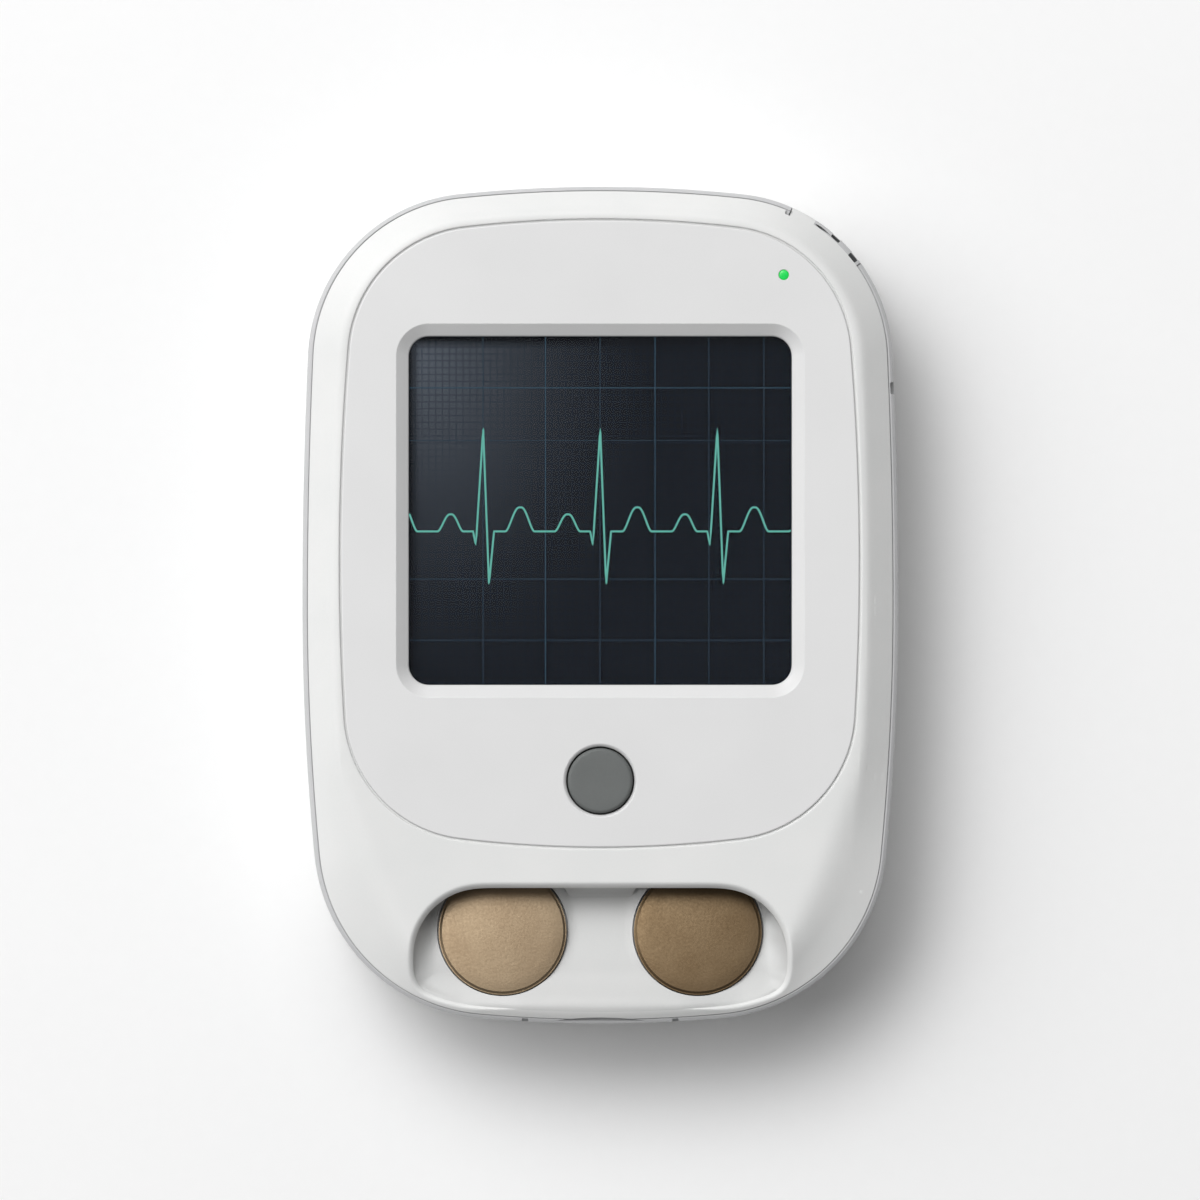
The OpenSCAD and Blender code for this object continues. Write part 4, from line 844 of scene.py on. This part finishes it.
def arcSweep(shape, start, stop, profile, steps=40):
    # carries a profile of (inset, height) round the upper right corner, between two angles
    return shape.loft([[polar(cornerArc, start + (stop - start) * i / steps, d, z) for d, z in profile]
                       for i in range(steps + 1)], True, True)


def strapCutters():
    # two slots, the thin gap beside the post, and the notch at the far end of it
    made = Shape()
    for angle, deep in strap["slots"]:
        made.merge(block(cornerArc, angle, -1.0, deep, strap["slotWidth"], 12.5, clear))
    rings = []
    for i in range(25):
        angle = strap["lensFrom"] + (strap["lensTo"] - strap["lensFrom"]) * i / 24
        half = max(0.02, strap["lensWide"] * math.sin(math.pi * (i / 24) ** 1.4))
        near, far = strap["lensIn"] - half, strap["lensIn"] + half
        rings.append([polar(cornerArc, angle, d, z) for d, z in
                      ((near, 16.0), (near, clear), (far, clear), (far, 16.0))])
    made.loft(rings, True, True)
    return made.merge(block(cornerArc, strap["notchTurn"], strap["notchOut"], strap["notchIn"], strap["notch"],
                            16.8, clear, 0.2))


# the pry gap under the bottom edge: a wide shallow arc between two heights
pry = {"radius": 40.625, "y": -51.5, "top": 18.15, "shellLow": 17.0, "bandLow": 16.7}
pryArc = circle(0, pry["y"] - pry["radius"], pry["radius"], 1200)


def pryCut(far, low):
    # the part of the arc beyond a line across the body
    loop = [p for p in pryArc if p[1] > far]
    return [atHeight(loop, low), atHeight(loop, pry["top"])]


shellCuts = strapCutters()
shellCuts.loft(pryCut(-52.6, pry["shellLow"]), True, True)
shellMesh = carved(frontShell().mesh("shell"), shellCuts.mesh("cuts"))
webY = shell["lipY"] - 0.36
webRows = ((0.1, 2.9), (0.28, 2.0), (0.5, 1.2), (0.75, 0.55), (1.05, 0.15), (1.4, -0.1))  # run and rise
web = Shape().loft([[(-half, y, z), (half, y, z), (half, webY + 0.6, z), (-half, webY + 0.6, z)]
                    for half, y, z in [(4.6, webY, 18.5)] + [
                        (4.5 - 0.55 * run, webY - run, rampZ(webY - run) - shell["sunk"] - shell["trench"] + up)
                        for run, up in webRows]],
                   True, True)
webMesh = web.mesh("web", 40)


def strapBlock(start, stop):
    low = strap["low"]
    profile = [(2.3, low), (0.08, low), (0.0, low + 0.08), (0.0, 16.74), (0.04, 16.86), (0.14, 16.99), (0.3, 17.22),
               (0.5, 17.4), (0.9, 17.68), (2.3, 17.68)]
    mesh = arcSweep(Shape(), start, stop, profile, 60).mesh("strap")
    return carved(mesh, strapCutters().mesh("cuts"))


strapMesh = strapBlock(strap["greyTo"], strap["to"])
bossTop = 16.9
bosses = Shape()
for places, radius, bore, foot, deep in ((((26.33, 37.9), (26.15, -36.26)), 2.7, 1.05, 10.2, 14.9),
                                         (((29.9, 4.0), (19.5, -33.2)), 1.9, 0.75, 12.8, 15.3)):
    for x, y in places:
        for side in (-1, 1):
            bosses.lathe([(0, bossTop), (radius, bossTop), (radius, foot + 0.2), (radius - 0.2, foot), (bore, foot),
                          (bore, deep), (0, deep)], side * x, y, steps=32)


def joined(meshes):
    bm = bmesh.new()
    for m in meshes:
        bm.from_mesh(m)
    made = bpy.data.meshes.new("joined")
    bm.to_mesh(made)
    bm.free()
    return shaded(made, 32)


front = piece("shell_front", joined([shellMesh, webMesh, strapMesh, bosses.mesh("bosses")]), whiteAbs, "housing",
              ["front_shell"])
front.data.materials.append(scoopShadeAbs)
# the faces inside the scoop take the darker white: painted shade in the recess
middles = np.array([tuple(p.center) for p in front.data.polygons]) / mm
inScoop = (insideOf(offset(rim, 0.02), middles[:, :2])
           & (middles[:, 2] > rampZ(middles[:, 1]) - shell["floorThick"] + 0.1))
front.data.polygons.foreach_set("material_index", inScoop.astype(np.int32))
print("front shell made:", len(shellMesh.polygons), "faces")


def facePlate():
    made = Shape()
    top, seat, half, edge = body["thick"], plate["seat"], plate["groove"] / 2, plate["edgeRound"]
    wide, low, soft = screen["bevel"], body["thick"] - screen["bevelDepth"], screen["bevelSoft"]
    bore, bevel, lamp = button["hole"], button["bevel"], statusLight["radius"]

    def rim(inset):
        return outline(plateArcs, inset)

    def window(out):
        return roundedRect(screen["width"] + 2 * out, screen["height"] + 2 * out, screen["corner"] + out, 0,
                           screen["y"], 16)

    def buttonBore(r):
        return circle(0, button["y"], r)

    def lampBore(r):
        return circle(statusLight["x"], statusLight["y"], r, 32)
    # each edge's profile, from the face down to the seat
    edges = {
        rim: [(half + edge * (1 - math.cos(a)), top - edge * (1 - math.sin(a)))
              for a in (math.radians(d) for d in (90, 72, 54, 36, 18, 0))] + [(half, seat)],
        window: [(wide + soft, top), (wide + soft * 0.45, top - 0.02), (wide - soft * 0.3, top - 0.09),
                 (0.16, low + 0.13), (0.06, low + 0.02), (0.0, low - 0.1), (0.0, seat)],
        buttonBore: [(bore + bevel + 0.08, top), (bore + bevel - 0.02, top - 0.03), (bore + 0.05, top - bevel + 0.06),
                     (bore, top - bevel - 0.05), (bore, seat)],
        lampBore: [(lamp + 0.12, top), (lamp + 0.05, top - 0.06), (lamp + 0.05, seat)],
    }
    for loop, profile in edges.items():
        made.loft([atHeight(loop(size), z) for size, z in profile])
    for end, z in ((0, top), (-1, seat)):
        outer, *holes = [loop(profile[end][0]) for loop, profile in edges.items()]
        made.patch(outer, holes, flatAt(z))
    return made


piece("plate_inlay", facePlate().mesh("plate"), satinPlate, "housing", ["faceplate"])
print("faceplate made")

band = {"keyTurn": 1.572, "keyLength": 9.3, "keyHeight": 2.4, "keyZ": 10.05, "keyGap": 0.1,
        "portWidth": 9.44, "portHeight": 3.7, "portZ": 10.0, "ventY": 27.1, "vent": (1.5, 0.36),
        "drainX": 9.4, "drain": (0.8, 0.2), "cutIn": 0.27, "lip": 0.45, "step": 0.2}


def ringLoft(profile):
    return Shape().loft([atHeight(outline(bodyArcs, d), z) for d, z in profile], True, True)


def roundOver(d0, z0, r, a0, a1, steps=6):
    # points of a quarter round in the (inset, height) plane about a centre
    return [(d0 + r * math.cos(math.radians(a0 + (a1 - a0) * i / steps)),
             z0 + r * math.sin(math.radians(a0 + (a1 - a0) * i / steps))) for i in range(steps + 1)]


def sideBand():
    r, low, high, wall = body["bandRound"], body["rearSeam"], body["frontSeam"], body["bandWall"]
    lip, step = band["lip"], band["step"]
    profile = [(wall, low)] + roundOver(r, low + r, r, 270, 180) + [(0, 9.0), (0, 12.0), (0, 15.0)]
    profile += [(0, 16.9), (0.03, 16.99), (0.09, 17.07), (0.2, 17.17), (0.32, 17.27), (lip - 0.05, 17.34)]
    inner = [(lip - 0.02, 17.35), (lip, 17.33), (lip + 0.01, high - step), (shell["edgeIn"] + 0.1, high - step),
             (wall, high - step), (wall, low)]
    rings = [outline(bodyArcs, d) for d, z in profile] + [narrowed(outline(bodyArcs, d)) for d, z in inner]
    return Shape().loft([atHeight(ring, z) for ring, (_, z) in zip(rings, profile + inner)])


def keyRing(x, length, height, corner, steps=14):
    # a rounded outline across the side key's own frame, x out of the band; x may bend with the body's side
    return [tuple(keyFrame @ Vector((x(u) if callable(x) else x, u, v)))
            for u, v in roundedRect(length, height, corner, 0, 0, steps)]


bandCuts = Shape()
keyFrame = (Matrix.Translation((body["halfWidth"] - body["sideTop"], 0, band["keyZ"]))
            @ Matrix.Rotation(math.radians(band["keyTurn"]), 4, "Z") @ Matrix.Translation((body["sideTop"], 0, 0)))
gap = band["keyGap"]
bandCuts.loft([keyRing(x, band["keyLength"] + 2 * gap, band["keyHeight"] + 2 * gap, band["keyHeight"] / 2 + 0.09)
               for x in (-4, 3)], True, True)
portHole = roundedRect(band["portWidth"], band["portHeight"], band["portHeight"] / 2 - 0.01, 0, 0, 14)


def portCut(shape, back):
    shape.loft([[(u, y, band["portZ"] + v) for u, v in portHole] for y in (-56, back)], True, True)


def pillCut(arc, angle, size):
    length, width = size
    plan = roundedRect(width + 0.3, length, width / 2, 0, 0, 6)
    return Shape().loft([[polar(arc, angle, band["cutIn"] - 0.15 - px, z, py) for px, py in plan]
                         for z in (15.4, 18.2)], True, True)


def cornerCut(shape, start, stop, z0, z1, deep):
    return arcSweep(shape, start, stop, ((-1, z0), (-1, z1), (deep, z1), (deep, z0)))


portCut(bandCuts, -49)
ventAngle = math.degrees(math.asin(band["ventY"] / body["sideTop"]))
drainAngle = math.degrees(math.asin(band["drainX"] / body["endRound"]))
bandCuts.merge(pillCut(bodyArcs[0], ventAngle, band["vent"]))
for side in (-1, 1):
    bandCuts.merge(pillCut(bodyArcs[7], 270 + side * drainAngle, band["drain"]))
cornerCut(bandCuts, 35.6, 66.4, 15.3, clear, 2.8)
bandCuts.loft(pryCut(-51.9, pry["bandLow"]), True, True)
bandMesh = carved(sideBand().mesh("band"), bandCuts.mesh("cuts"))
# a second pass, as cutters of one pass may not overlap
bandMesh = carved(bandMesh, cornerCut(Shape(), 36.6, 50.1, strap["pocketLow"], 15.5, 2.4).mesh("pocket"))
piece("side_band", bandMesh, greyBand, "housing", ["mid_frame"])

# a dark grey sheet over the strap pocket's wall and floor, put there as painted shade so that the slots read dark
pocketShadeLiner = {"from": 34.0, "to": 52.7,
         "wall": ((2.3, 15.3), (2.3, 12.4), (3.4, 12.4), (3.4, 15.3)),
         "floor": ((0.08, 13.06), (0.08, 12.9), (1.0, 12.9), (1.0, 10.1), (3.4, 10.1), (3.4, 13.06))}
pocketShape = Shape()
for part in ("wall", "floor"):
    arcSweep(pocketShape, pocketShadeLiner["from"], pocketShadeLiner["to"], pocketShadeLiner[part])
piece("strap_pocket_liner", pocketShape.mesh("pocket"), pocketShadeGrey, "housing")
piece("strap_post", strapBlock(strap["from"], strap["greyTo"]), greyBand, "housing")
print("side band made")

rear = {"back": 0.6, "inner": 2.4, "roll": 5.0, "screwR": 2.1, "screwSeat": 4.0, "footR": 3.6, "footSink": 1.0,
        "screws": ((26.33, 37.9), (26.15, -36.26)), "feetX": (16.83, 16.65)}
screwPlaces = [(side * x, y) for x, y in rear["screws"] for side in (-1, 1)]
footPlaces = [(side * fx, y) for (x, y), fx in zip(rear["screws"], rear["feetX"]) for side in (-1, 1)]


def rearCover():
    back, roll, seam = rear["back"], rear["roll"], body["rearSeam"]
    profile = [(9.0, back), (6.5, back), (roll + 0.4, back)] + roundOver(roll, back + roll, roll, 270, 180, 12)
    profile += [(0, seam - 0.12), (0.05, seam - 0.03), (0.15, seam), (1.9, seam), (1.9, 8.3), (3.1, 8.3),
                (3.1, rear["inner"])]
    return ringLoft(profile)


def lathes(shape, profile, places, steps):
    for x, y in places:
        shape.lathe(profile, x, y, steps=steps)
    return shape


rearCuts = Shape()
screwR, seat, footR, sink = rear["screwR"], rear["screwSeat"], rear["footR"], rear["footSink"]
lathes(rearCuts, [(0, -1), (screwR + 0.25, -1), (screwR + 0.25, 0.55), (screwR, 0.8), (screwR, seat), (0, seat)],
       screwPlaces, 48)
lathes(rearCuts, [(0, -1), (footR + 0.15, -1), (footR + 0.15, 0.56), (footR, 0.7), (footR, sink), (0, sink)],
       footPlaces, 64)
portCut(rearCuts, -48)
pillars = Shape()
lathes(pillars, [(screwR, 3.9), (3.2, 3.9), (3.2, 1.2), (2.6, 1.2), (screwR, 1.2), (screwR, 3.9)], screwPlaces, 32)
lathes(pillars, [(1.2, seat), (3.2, seat), (3.2, 10.1), (1.2, 10.1), (1.2, seat)], screwPlaces, 32)
rearMesh = carved(rearCover().mesh("rear"), rearCuts.mesh("cuts"))
piece("rear_tub", joined([rearMesh, pillars.mesh("pillars")]), whiteAbs, "housing", ["rear_cover"])
footProfile = [(0, 0.06), (1.2, 0.02), (2.9, 0.0)]
footProfile += [(3.2 + 0.3 * math.sin(math.radians(a)), 0.3 - 0.3 * math.cos(math.radians(a)))
                for a in (0, 22, 45, 68, 90)] + [(3.5, sink), (0, sink)]
feet = lathes(Shape(), footProfile, footPlaces, 64)
piece("feet", feet.mesh("feet"), blackRubber, "housing", ["rubber_feet"])
print("rear cover and feet made")

lensShape = Shape()
lw, lh = screen["width"] + 2 * screen["glassEdge"], screen["height"] + 2 * screen["glassEdge"]
low, high, soft = screen["glassLow"], screen["glassTop"], screen["glassRound"]
lensShape.loft([atHeight(roundedRect(lw - 2 * d, lh - 2 * d, screen["glassCorner"] - d, 0, screen["y"], 14), z)
                for d, z in ((soft, low), (0.0, low + soft), (0.0, high - soft), (soft, high))], True, True)
piece("cover_glass", lensShape.mesh("lens"), coverGlass, "housing", ["display_lens"])

top, radius, soft = button["top"], button["radius"], button["round"]
flange, flangeLow, flangeTop = button["flange"], button["flangeLow"], button["flangeTop"]
cap = [(0, flangeLow - 1.1), (1.6, flangeLow - 1.1), (1.6, flangeLow), (flange, flangeLow), (flange, flangeTop),
       (radius, flangeTop)]
cap += [(radius - soft + soft * math.cos(math.radians(a)), top - soft + soft * math.sin(math.radians(a)))
        for a in range(0, 91, 10)]
cap += [(radius - 1.2, top - 0.01), (1.5, top - 0.03), (0, top - 0.035)]
piece("button_cap", Shape().lathe(cap, 0, button["y"]).mesh("cap"), greyRubber, "front_button_body",
      ["front_button"])

for side, name in ((-1, "left"), (1, "right")):
    radius, face = electrode["radius"], electrode["proud"]
    under, stem, stemEnd = electrode["underside"], electrode["stem"], electrode["stemEnd"]
    step = face - electrode["drop"]
    ring = radius - electrode["ledge"]
    flat = ring - electrode["chamfer"]
    profile = [(0, stemEnd), (stem - 0.1, stemEnd), (stem, stemEnd + 0.1), (stem, under), (radius - 0.15, under),
               (radius, under + 0.15), (radius, step - 0.04), (radius - 0.01, step - 0.01), (radius - 0.04, step),
               (ring, step), (flat, face - 0.005), (flat - 0.05, face), (flat - 0.2, face + 0.01)]
    profile += [(r, face + electrode["dome"] * (1 - (r / radius) ** 2)) for r in range(7, -1, -1)]
    # each disc takes its side's copy of the bronze; the right copy is painted shade
    place = Matrix.Translation((side * electrode["x"], electrode["y"], rampZ(electrode["y"]))) @ tilt
    piece("electrode_disc_" + name, Shape().lathe(profile, place=place, steps=128).mesh("disc", 20), bronzeLitAndShaded[name],
          "housing", ["electrode_" + name])

radius, soft, top = statusLight["radius"], statusLight["round"], body["thick"]
pipe = [(0, 13.45), (0.9, 13.45), (0.9, 15.75), (1.2, 15.75), (1.2, 16.35), (radius, 16.35), (radius, top - soft)]
pipe += [(radius * math.cos(math.radians(a)), top - soft + soft * math.sin(math.radians(a)))
         for a in (15, 30, 45, 60, 75)] + [(0, top)]
piece("status_lens", Shape().lathe(pipe, statusLight["x"], statusLight["y"], steps=48).mesh("pipe"), glowGreen,
      "housing", ["light_pipe"])

key = {"proud": 0.14, "round": 0.22, "back": -2.4, "collar": 1.6, "collarFrom": -2.8, "collarTo": -1.9, "peg": 0.8,
       "pegEnd": -3.3}


def sideKey():
    made = Shape()
    length, height, soft = band["keyLength"], band["keyHeight"], key["round"]
    sideR = body["sideTop"] + key["proud"]
    rings = []
    for d, x in [(0.0, key["back"]), (0.0, -0.25)] + [
            (soft * (1 - math.cos(math.radians(a))), key["proud"] - soft + soft * math.sin(math.radians(a)))
            for a in range(0, 91, 15)]:
        rings.append(keyRing(lambda u: x + math.sqrt(sideR ** 2 - u * u) - sideR, length - 2 * d, height - 2 * d,
                             height / 2 - d - 0.001))
    made.loft(rings, True, True)
    made.loft([keyRing(x, length + key["collar"], height, height / 4, 8)
               for x in (key["collarFrom"], key["collarTo"])], True, True)
    turnX = keyFrame @ Matrix.Rotation(math.radians(90), 4, "Y")
    peg, end = key["peg"], key["pegEnd"]
    made.lathe([(0, end), (peg - 0.1, end), (peg, end + 0.1), (peg, key["back"]), (0, key["back"])], place=turnX,
               steps=32)
    return made

piece("key_bar", sideKey().mesh("key"), greyBand, "side_key_body", ["side_key"])
print("glass, buttons, electrodes and light made")


def pathTree():
    # mesh edges become a tube of one radius
    tree = bpy.data.node_groups.new("path_to_tube", "GeometryNodeTree")
    tree.interface.new_socket("Geometry", in_out="INPUT", socket_type="NodeSocketGeometry")
    for name, kind, value in (("Radius", "NodeSocketFloat", 0.0001), ("Sides", "NodeSocketInt", 8),
                              ("Finish", "NodeSocketMaterial", None)):
        socket = tree.interface.new_socket(name, in_out="INPUT", socket_type=kind)
        if value is not None:
            socket.default_value = value
    tree.interface.new_socket("Geometry", in_out="OUTPUT", socket_type="NodeSocketGeometry")
    given = addNode(tree, "NodeGroupInput")
    curve = addNode(tree, "GeometryNodeMeshToCurve", None, {"Mesh": given.outputs["Geometry"]})
    profile = addNode(tree, "GeometryNodeCurvePrimitiveCircle", None,
                      {"Resolution": given.outputs["Sides"], "Radius": given.outputs["Radius"]})
    tube = addNode(tree, "GeometryNodeCurveToMesh", {"Fill Caps": True},
                   {"Curve": curve, "Profile Curve": profile})
    real = addNode(tree, "GeometryNodeRealizeInstances", None, {"Geometry": tube})
    smooth = addNode(tree, "GeometryNodeSetShadeSmooth", None, {"Geometry": real})
    painted = addNode(tree, "GeometryNodeSetMaterial", None,
                      {"Geometry": smooth, "Material": given.outputs["Finish"]})
    addNode(tree, "NodeGroupOutput", None, {"Geometry": painted})
    return tree


def repeatTree():
    # a template mesh set on every point, turned by a seeded amount
    tree = bpy.data.node_groups.new("set_on_points", "GeometryNodeTree")
    tree.interface.new_socket("Geometry", in_out="INPUT", socket_type="NodeSocketGeometry")
    for name, kind, value in (("Template", "NodeSocketObject", None), ("Turn", "NodeSocketFloat", 0.0),
                              ("Seed", "NodeSocketInt", 7), ("Finish", "NodeSocketMaterial", None)):
        socket = tree.interface.new_socket(name, in_out="INPUT", socket_type=kind)
        if value is not None:
            socket.default_value = value
    tree.interface.new_socket("Geometry", in_out="OUTPUT", socket_type="NodeSocketGeometry")
    given = addNode(tree, "NodeGroupInput")
    model = addNode(tree, "GeometryNodeObjectInfo", None, {"Object": given.outputs["Template"]})
    turnBy = addNode(tree, "FunctionNodeRandomValue", {"data_type": "FLOAT"},
                     {"Seed": given.outputs["Seed"], 3: given.outputs["Turn"]})
    angle = addNode(tree, "CombineXYZ", None, {"Z": turnBy.outputs[1]})
    placed = addNode(tree, "GeometryNodeInstanceOnPoints", None,
                     {"Points": given.outputs["Geometry"], "Instance": model.outputs["Geometry"],
                      "Rotation": angle})
    real = addNode(tree, "GeometryNodeRealizeInstances", None, {"Geometry": placed})
    painted = addNode(tree, "GeometryNodeSetMaterial", None,
                      {"Geometry": real, "Material": given.outputs["Finish"]})
    addNode(tree, "NodeGroupOutput", None, {"Geometry": painted})
    return tree


def grown(name, source, tree, values, sharp=32):
    # runs a tree over a mesh and returns the plain mesh it makes
    holder = bpy.data.objects.new(name + "_source", source)
    scene.collection.objects.link(holder)
    modifier = holder.modifiers.new("nodes", "NODES")
    modifier.node_group = tree
    for item in tree.interface.items_tree:
        if item.item_type == "SOCKET" and item.in_out == "INPUT" and item.name in values:
            modifier[item.identifier] = values[item.name]
    result = evaluated(holder)
    holder.modifiers.clear()
    bpy.data.objects.remove(holder)
    return shaded(result, sharp)


def paths(lines):
    # polylines as the edges of one mesh; a polyline of one point is a point of it
    made = bpy.data.meshes.new("paths")
    verts, edges = [], []
    for line in lines:
        base = len(verts)
        verts += [tuple(c * mm for c in p) for p in line]
        edges += [(base + i, base + i + 1) for i in range(len(line) - 1)]
    made.from_pydata(verts, edges, [])
    return made


tubeTree, setTree = pathTree(), repeatTree()

beat = {
    "period": 14.625, "base": 9.21, "halfWindow": 23.86, "width": 0.24, "lift": 0.12, "step": 0.12,
    # in mm from the tall stroke and from the base line: start, peak, stop and height of the two soft waves
    "waves": ((-5.66, -4.04, -2.53, 2.13), (2.8, 4.64, 6.39, 3.0)),
    "strokes": ((-1.26, 0), (-0.91, -1.67), (0.0, 12.84), (0.73, -6.54), (1.36, 0)),
}


def beatHeight(x):
    # the soft waves are raised cosines, the spike between them straight strokes
    for start, peak, stop, tall in beat["waves"]:
        if start <= x <= stop:
            t = (x - start) / (peak - start) if x < peak else (stop - x) / (stop - peak)
            return tall * (0.5 - 0.5 * math.cos(math.pi * min(1, t * 1.08))) ** 0.8
    for (x0, y0), (x1, y1) in zip(beat["strokes"], beat["strokes"][1:]):
        if x0 <= x <= x1:
            return y0 + (y1 - y0) * (x - x0) / (x1 - x0)
    return 0.0


line = []
knots = [-1.26, -1.0, -0.91, -0.7, -0.35, -0.06, 0.0, 0.06, 0.2, 0.5, 0.68, 0.73, 0.8, 1.36]
marks = set(np.round(np.arange(-beat["halfWindow"], beat["halfWindow"] + 0.01, beat["step"]), 3))
for k in range(-2, 3):
    marks |= {round(k * beat["period"] + q, 3) for q in knots}
for x in sorted(marks):
    if abs(x) <= beat["halfWindow"]:
        near = (x + beat["period"] / 2 + 1.0) % beat["period"] - beat["period"] / 2 - 1.0
        line.append((x, beat["base"] + beatHeight(near), screen["panelTop"] + beat["lift"]))
trace = grown("trace", paths([line]), tubeTree, {"Radius": beat["width"] / 2 * mm, "Sides": 8, "Finish": traceGlow})
piece("heart_trace", trace, traceGlow, "housing")

grid = {"width": {"clear": 0.11, "faint": 0.1}, "lift": 0.03, "low": (-23.86, -9.9), "high": (23.86, 33.5),
        "x": {"clear": (-6.84, 6.85), "faint": (-14.65, -0.02, 13.56, 20.44)},
        "y": {"clear": (27.14,), "faint": (20.56, 3.26, -4.36)}}
(loX, loY), (hiX, hiY) = grid["low"], grid["high"]
z = screen["panelTop"] + grid["lift"]
for tone, material in (("clear", gridClear), ("faint", gridFaint)):
    lines = [[(x, loY, z), (x, hiY, z)] for x in grid["x"][tone]]
    lines += [[(loX, y, z), (hiX, y, z)] for y in grid["y"][tone]]
    made = grown("grid", paths(lines), tubeTree, {"Radius": grid["width"][tone] / 2 * mm, "Sides": 4,
                                                  "Finish": material}, 80)
    piece("chart_grid_" + tone, made, material, "housing")


def screwTemplate():
    # pan head with a cross recess, head down, its seat at height 0
    made = Shape().lathe([(0, -1.2), (1.2, -1.17), (1.6, -1.05), (1.85, -0.75), (1.9, -0.4), (1.9, 0), (1.0, 0),
                          (1.0, 8.7), (0.8, 9.0), (0, 9.0)], steps=40).mesh("screw")
    cuts = Shape()
    for w, l in ((0.26, 1.15), (1.15, 0.26)):
        cuts.loft([[(x * k, y * k, z) for x, y in ((w, -l), (w, l), (-w, l), (-w, -l))]
                   for k, z in ((1.0, -2.0), (1.0, -1.1), (0.55, -0.45))], True, True)
    return carved(made, cuts.mesh("cross"))


def setOut(name, shape, places, turn, seed, finish):
    # copies of one small mesh, set on points by the tree
    template = bpy.data.objects.new(name + "_template", shape)
    made = grown(name, paths([[p] for p in places]), setTree,
                 {"Template": template, "Turn": turn, "Seed": seed, "Finish": finish})
    bpy.data.objects.remove(template)
    return made


screws = setOut("screws", screwTemplate(), [(x, y, rear["screwSeat"]) for x, y in screwPlaces], 1.5, 11, stampedSteel)
piece("rear_screws", screws, stampedSteel, "housing", ["case_screws"])

contact = {"count": 12, "pitch": 0.5, "y": -50.6, "rise": 0.35}
contactShape = Shape().loft([[(x * k, y, z) for x, z in ((0.13, -0.02), (0.13, 0.03), (-0.13, 0.03), (-0.13, -0.02))]
                             for k, y in ((0.6, 0.0), (1.0, 0.15), (1.0, 4.2), (0.8, 4.3))], True, True)
contactPlaces = [((i - (contact["count"] - 1) / 2) * contact["pitch"], contact["y"],
                  band["portZ"] + side * contact["rise"]) for i in range(contact["count"]) for side in (-1, 1)]
contacts = setOut("contacts", contactShape.mesh("contact"), contactPlaces, 0.0, 3, goldContact)
piece("socket_contacts", contacts, goldContact, "housing")
print("trace, chart lines, screws and contacts grown")

# finishes of the CAD nodes that stay
finishes = {
    "faceplate_adhesive": foam, "display_gasket": foam, "lcd_panel": picture, "backlight": lightGuide,
    "lcd_tray": blackPlastic, "display_flex": polyimide, "flex_connector": connectorNylon, "main_board": solderMask,
    "board_screws": stampedSteel, "shield_can": stampedSteel, "ecg_chip": chipResin, "board_chips": chipResin,
    "beeper": blackPlastic, "battery_cell": pouchFoil, "battery_guard": polyimide, "battery_pad": foam,
    "battery_leads": leadRed, "battery_plug": connectorNylon, "port_shell": stampedSteel, "port_tongue": blackPlastic,
    "electrode_clip_left": stampedSteel, "electrode_clip_right": stampedSteel, "contact_spring_left": goldContact,
    "contact_spring_right": goldContact, "front_switch": blackPlastic, "front_plunger": leadRed,
    "side_switch": blackPlastic, "side_plunger": connectorNylon, "status_led": lightGuide,
}
for name, material in finishes.items():
    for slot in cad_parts[name].material_slots:
        slot.material = material
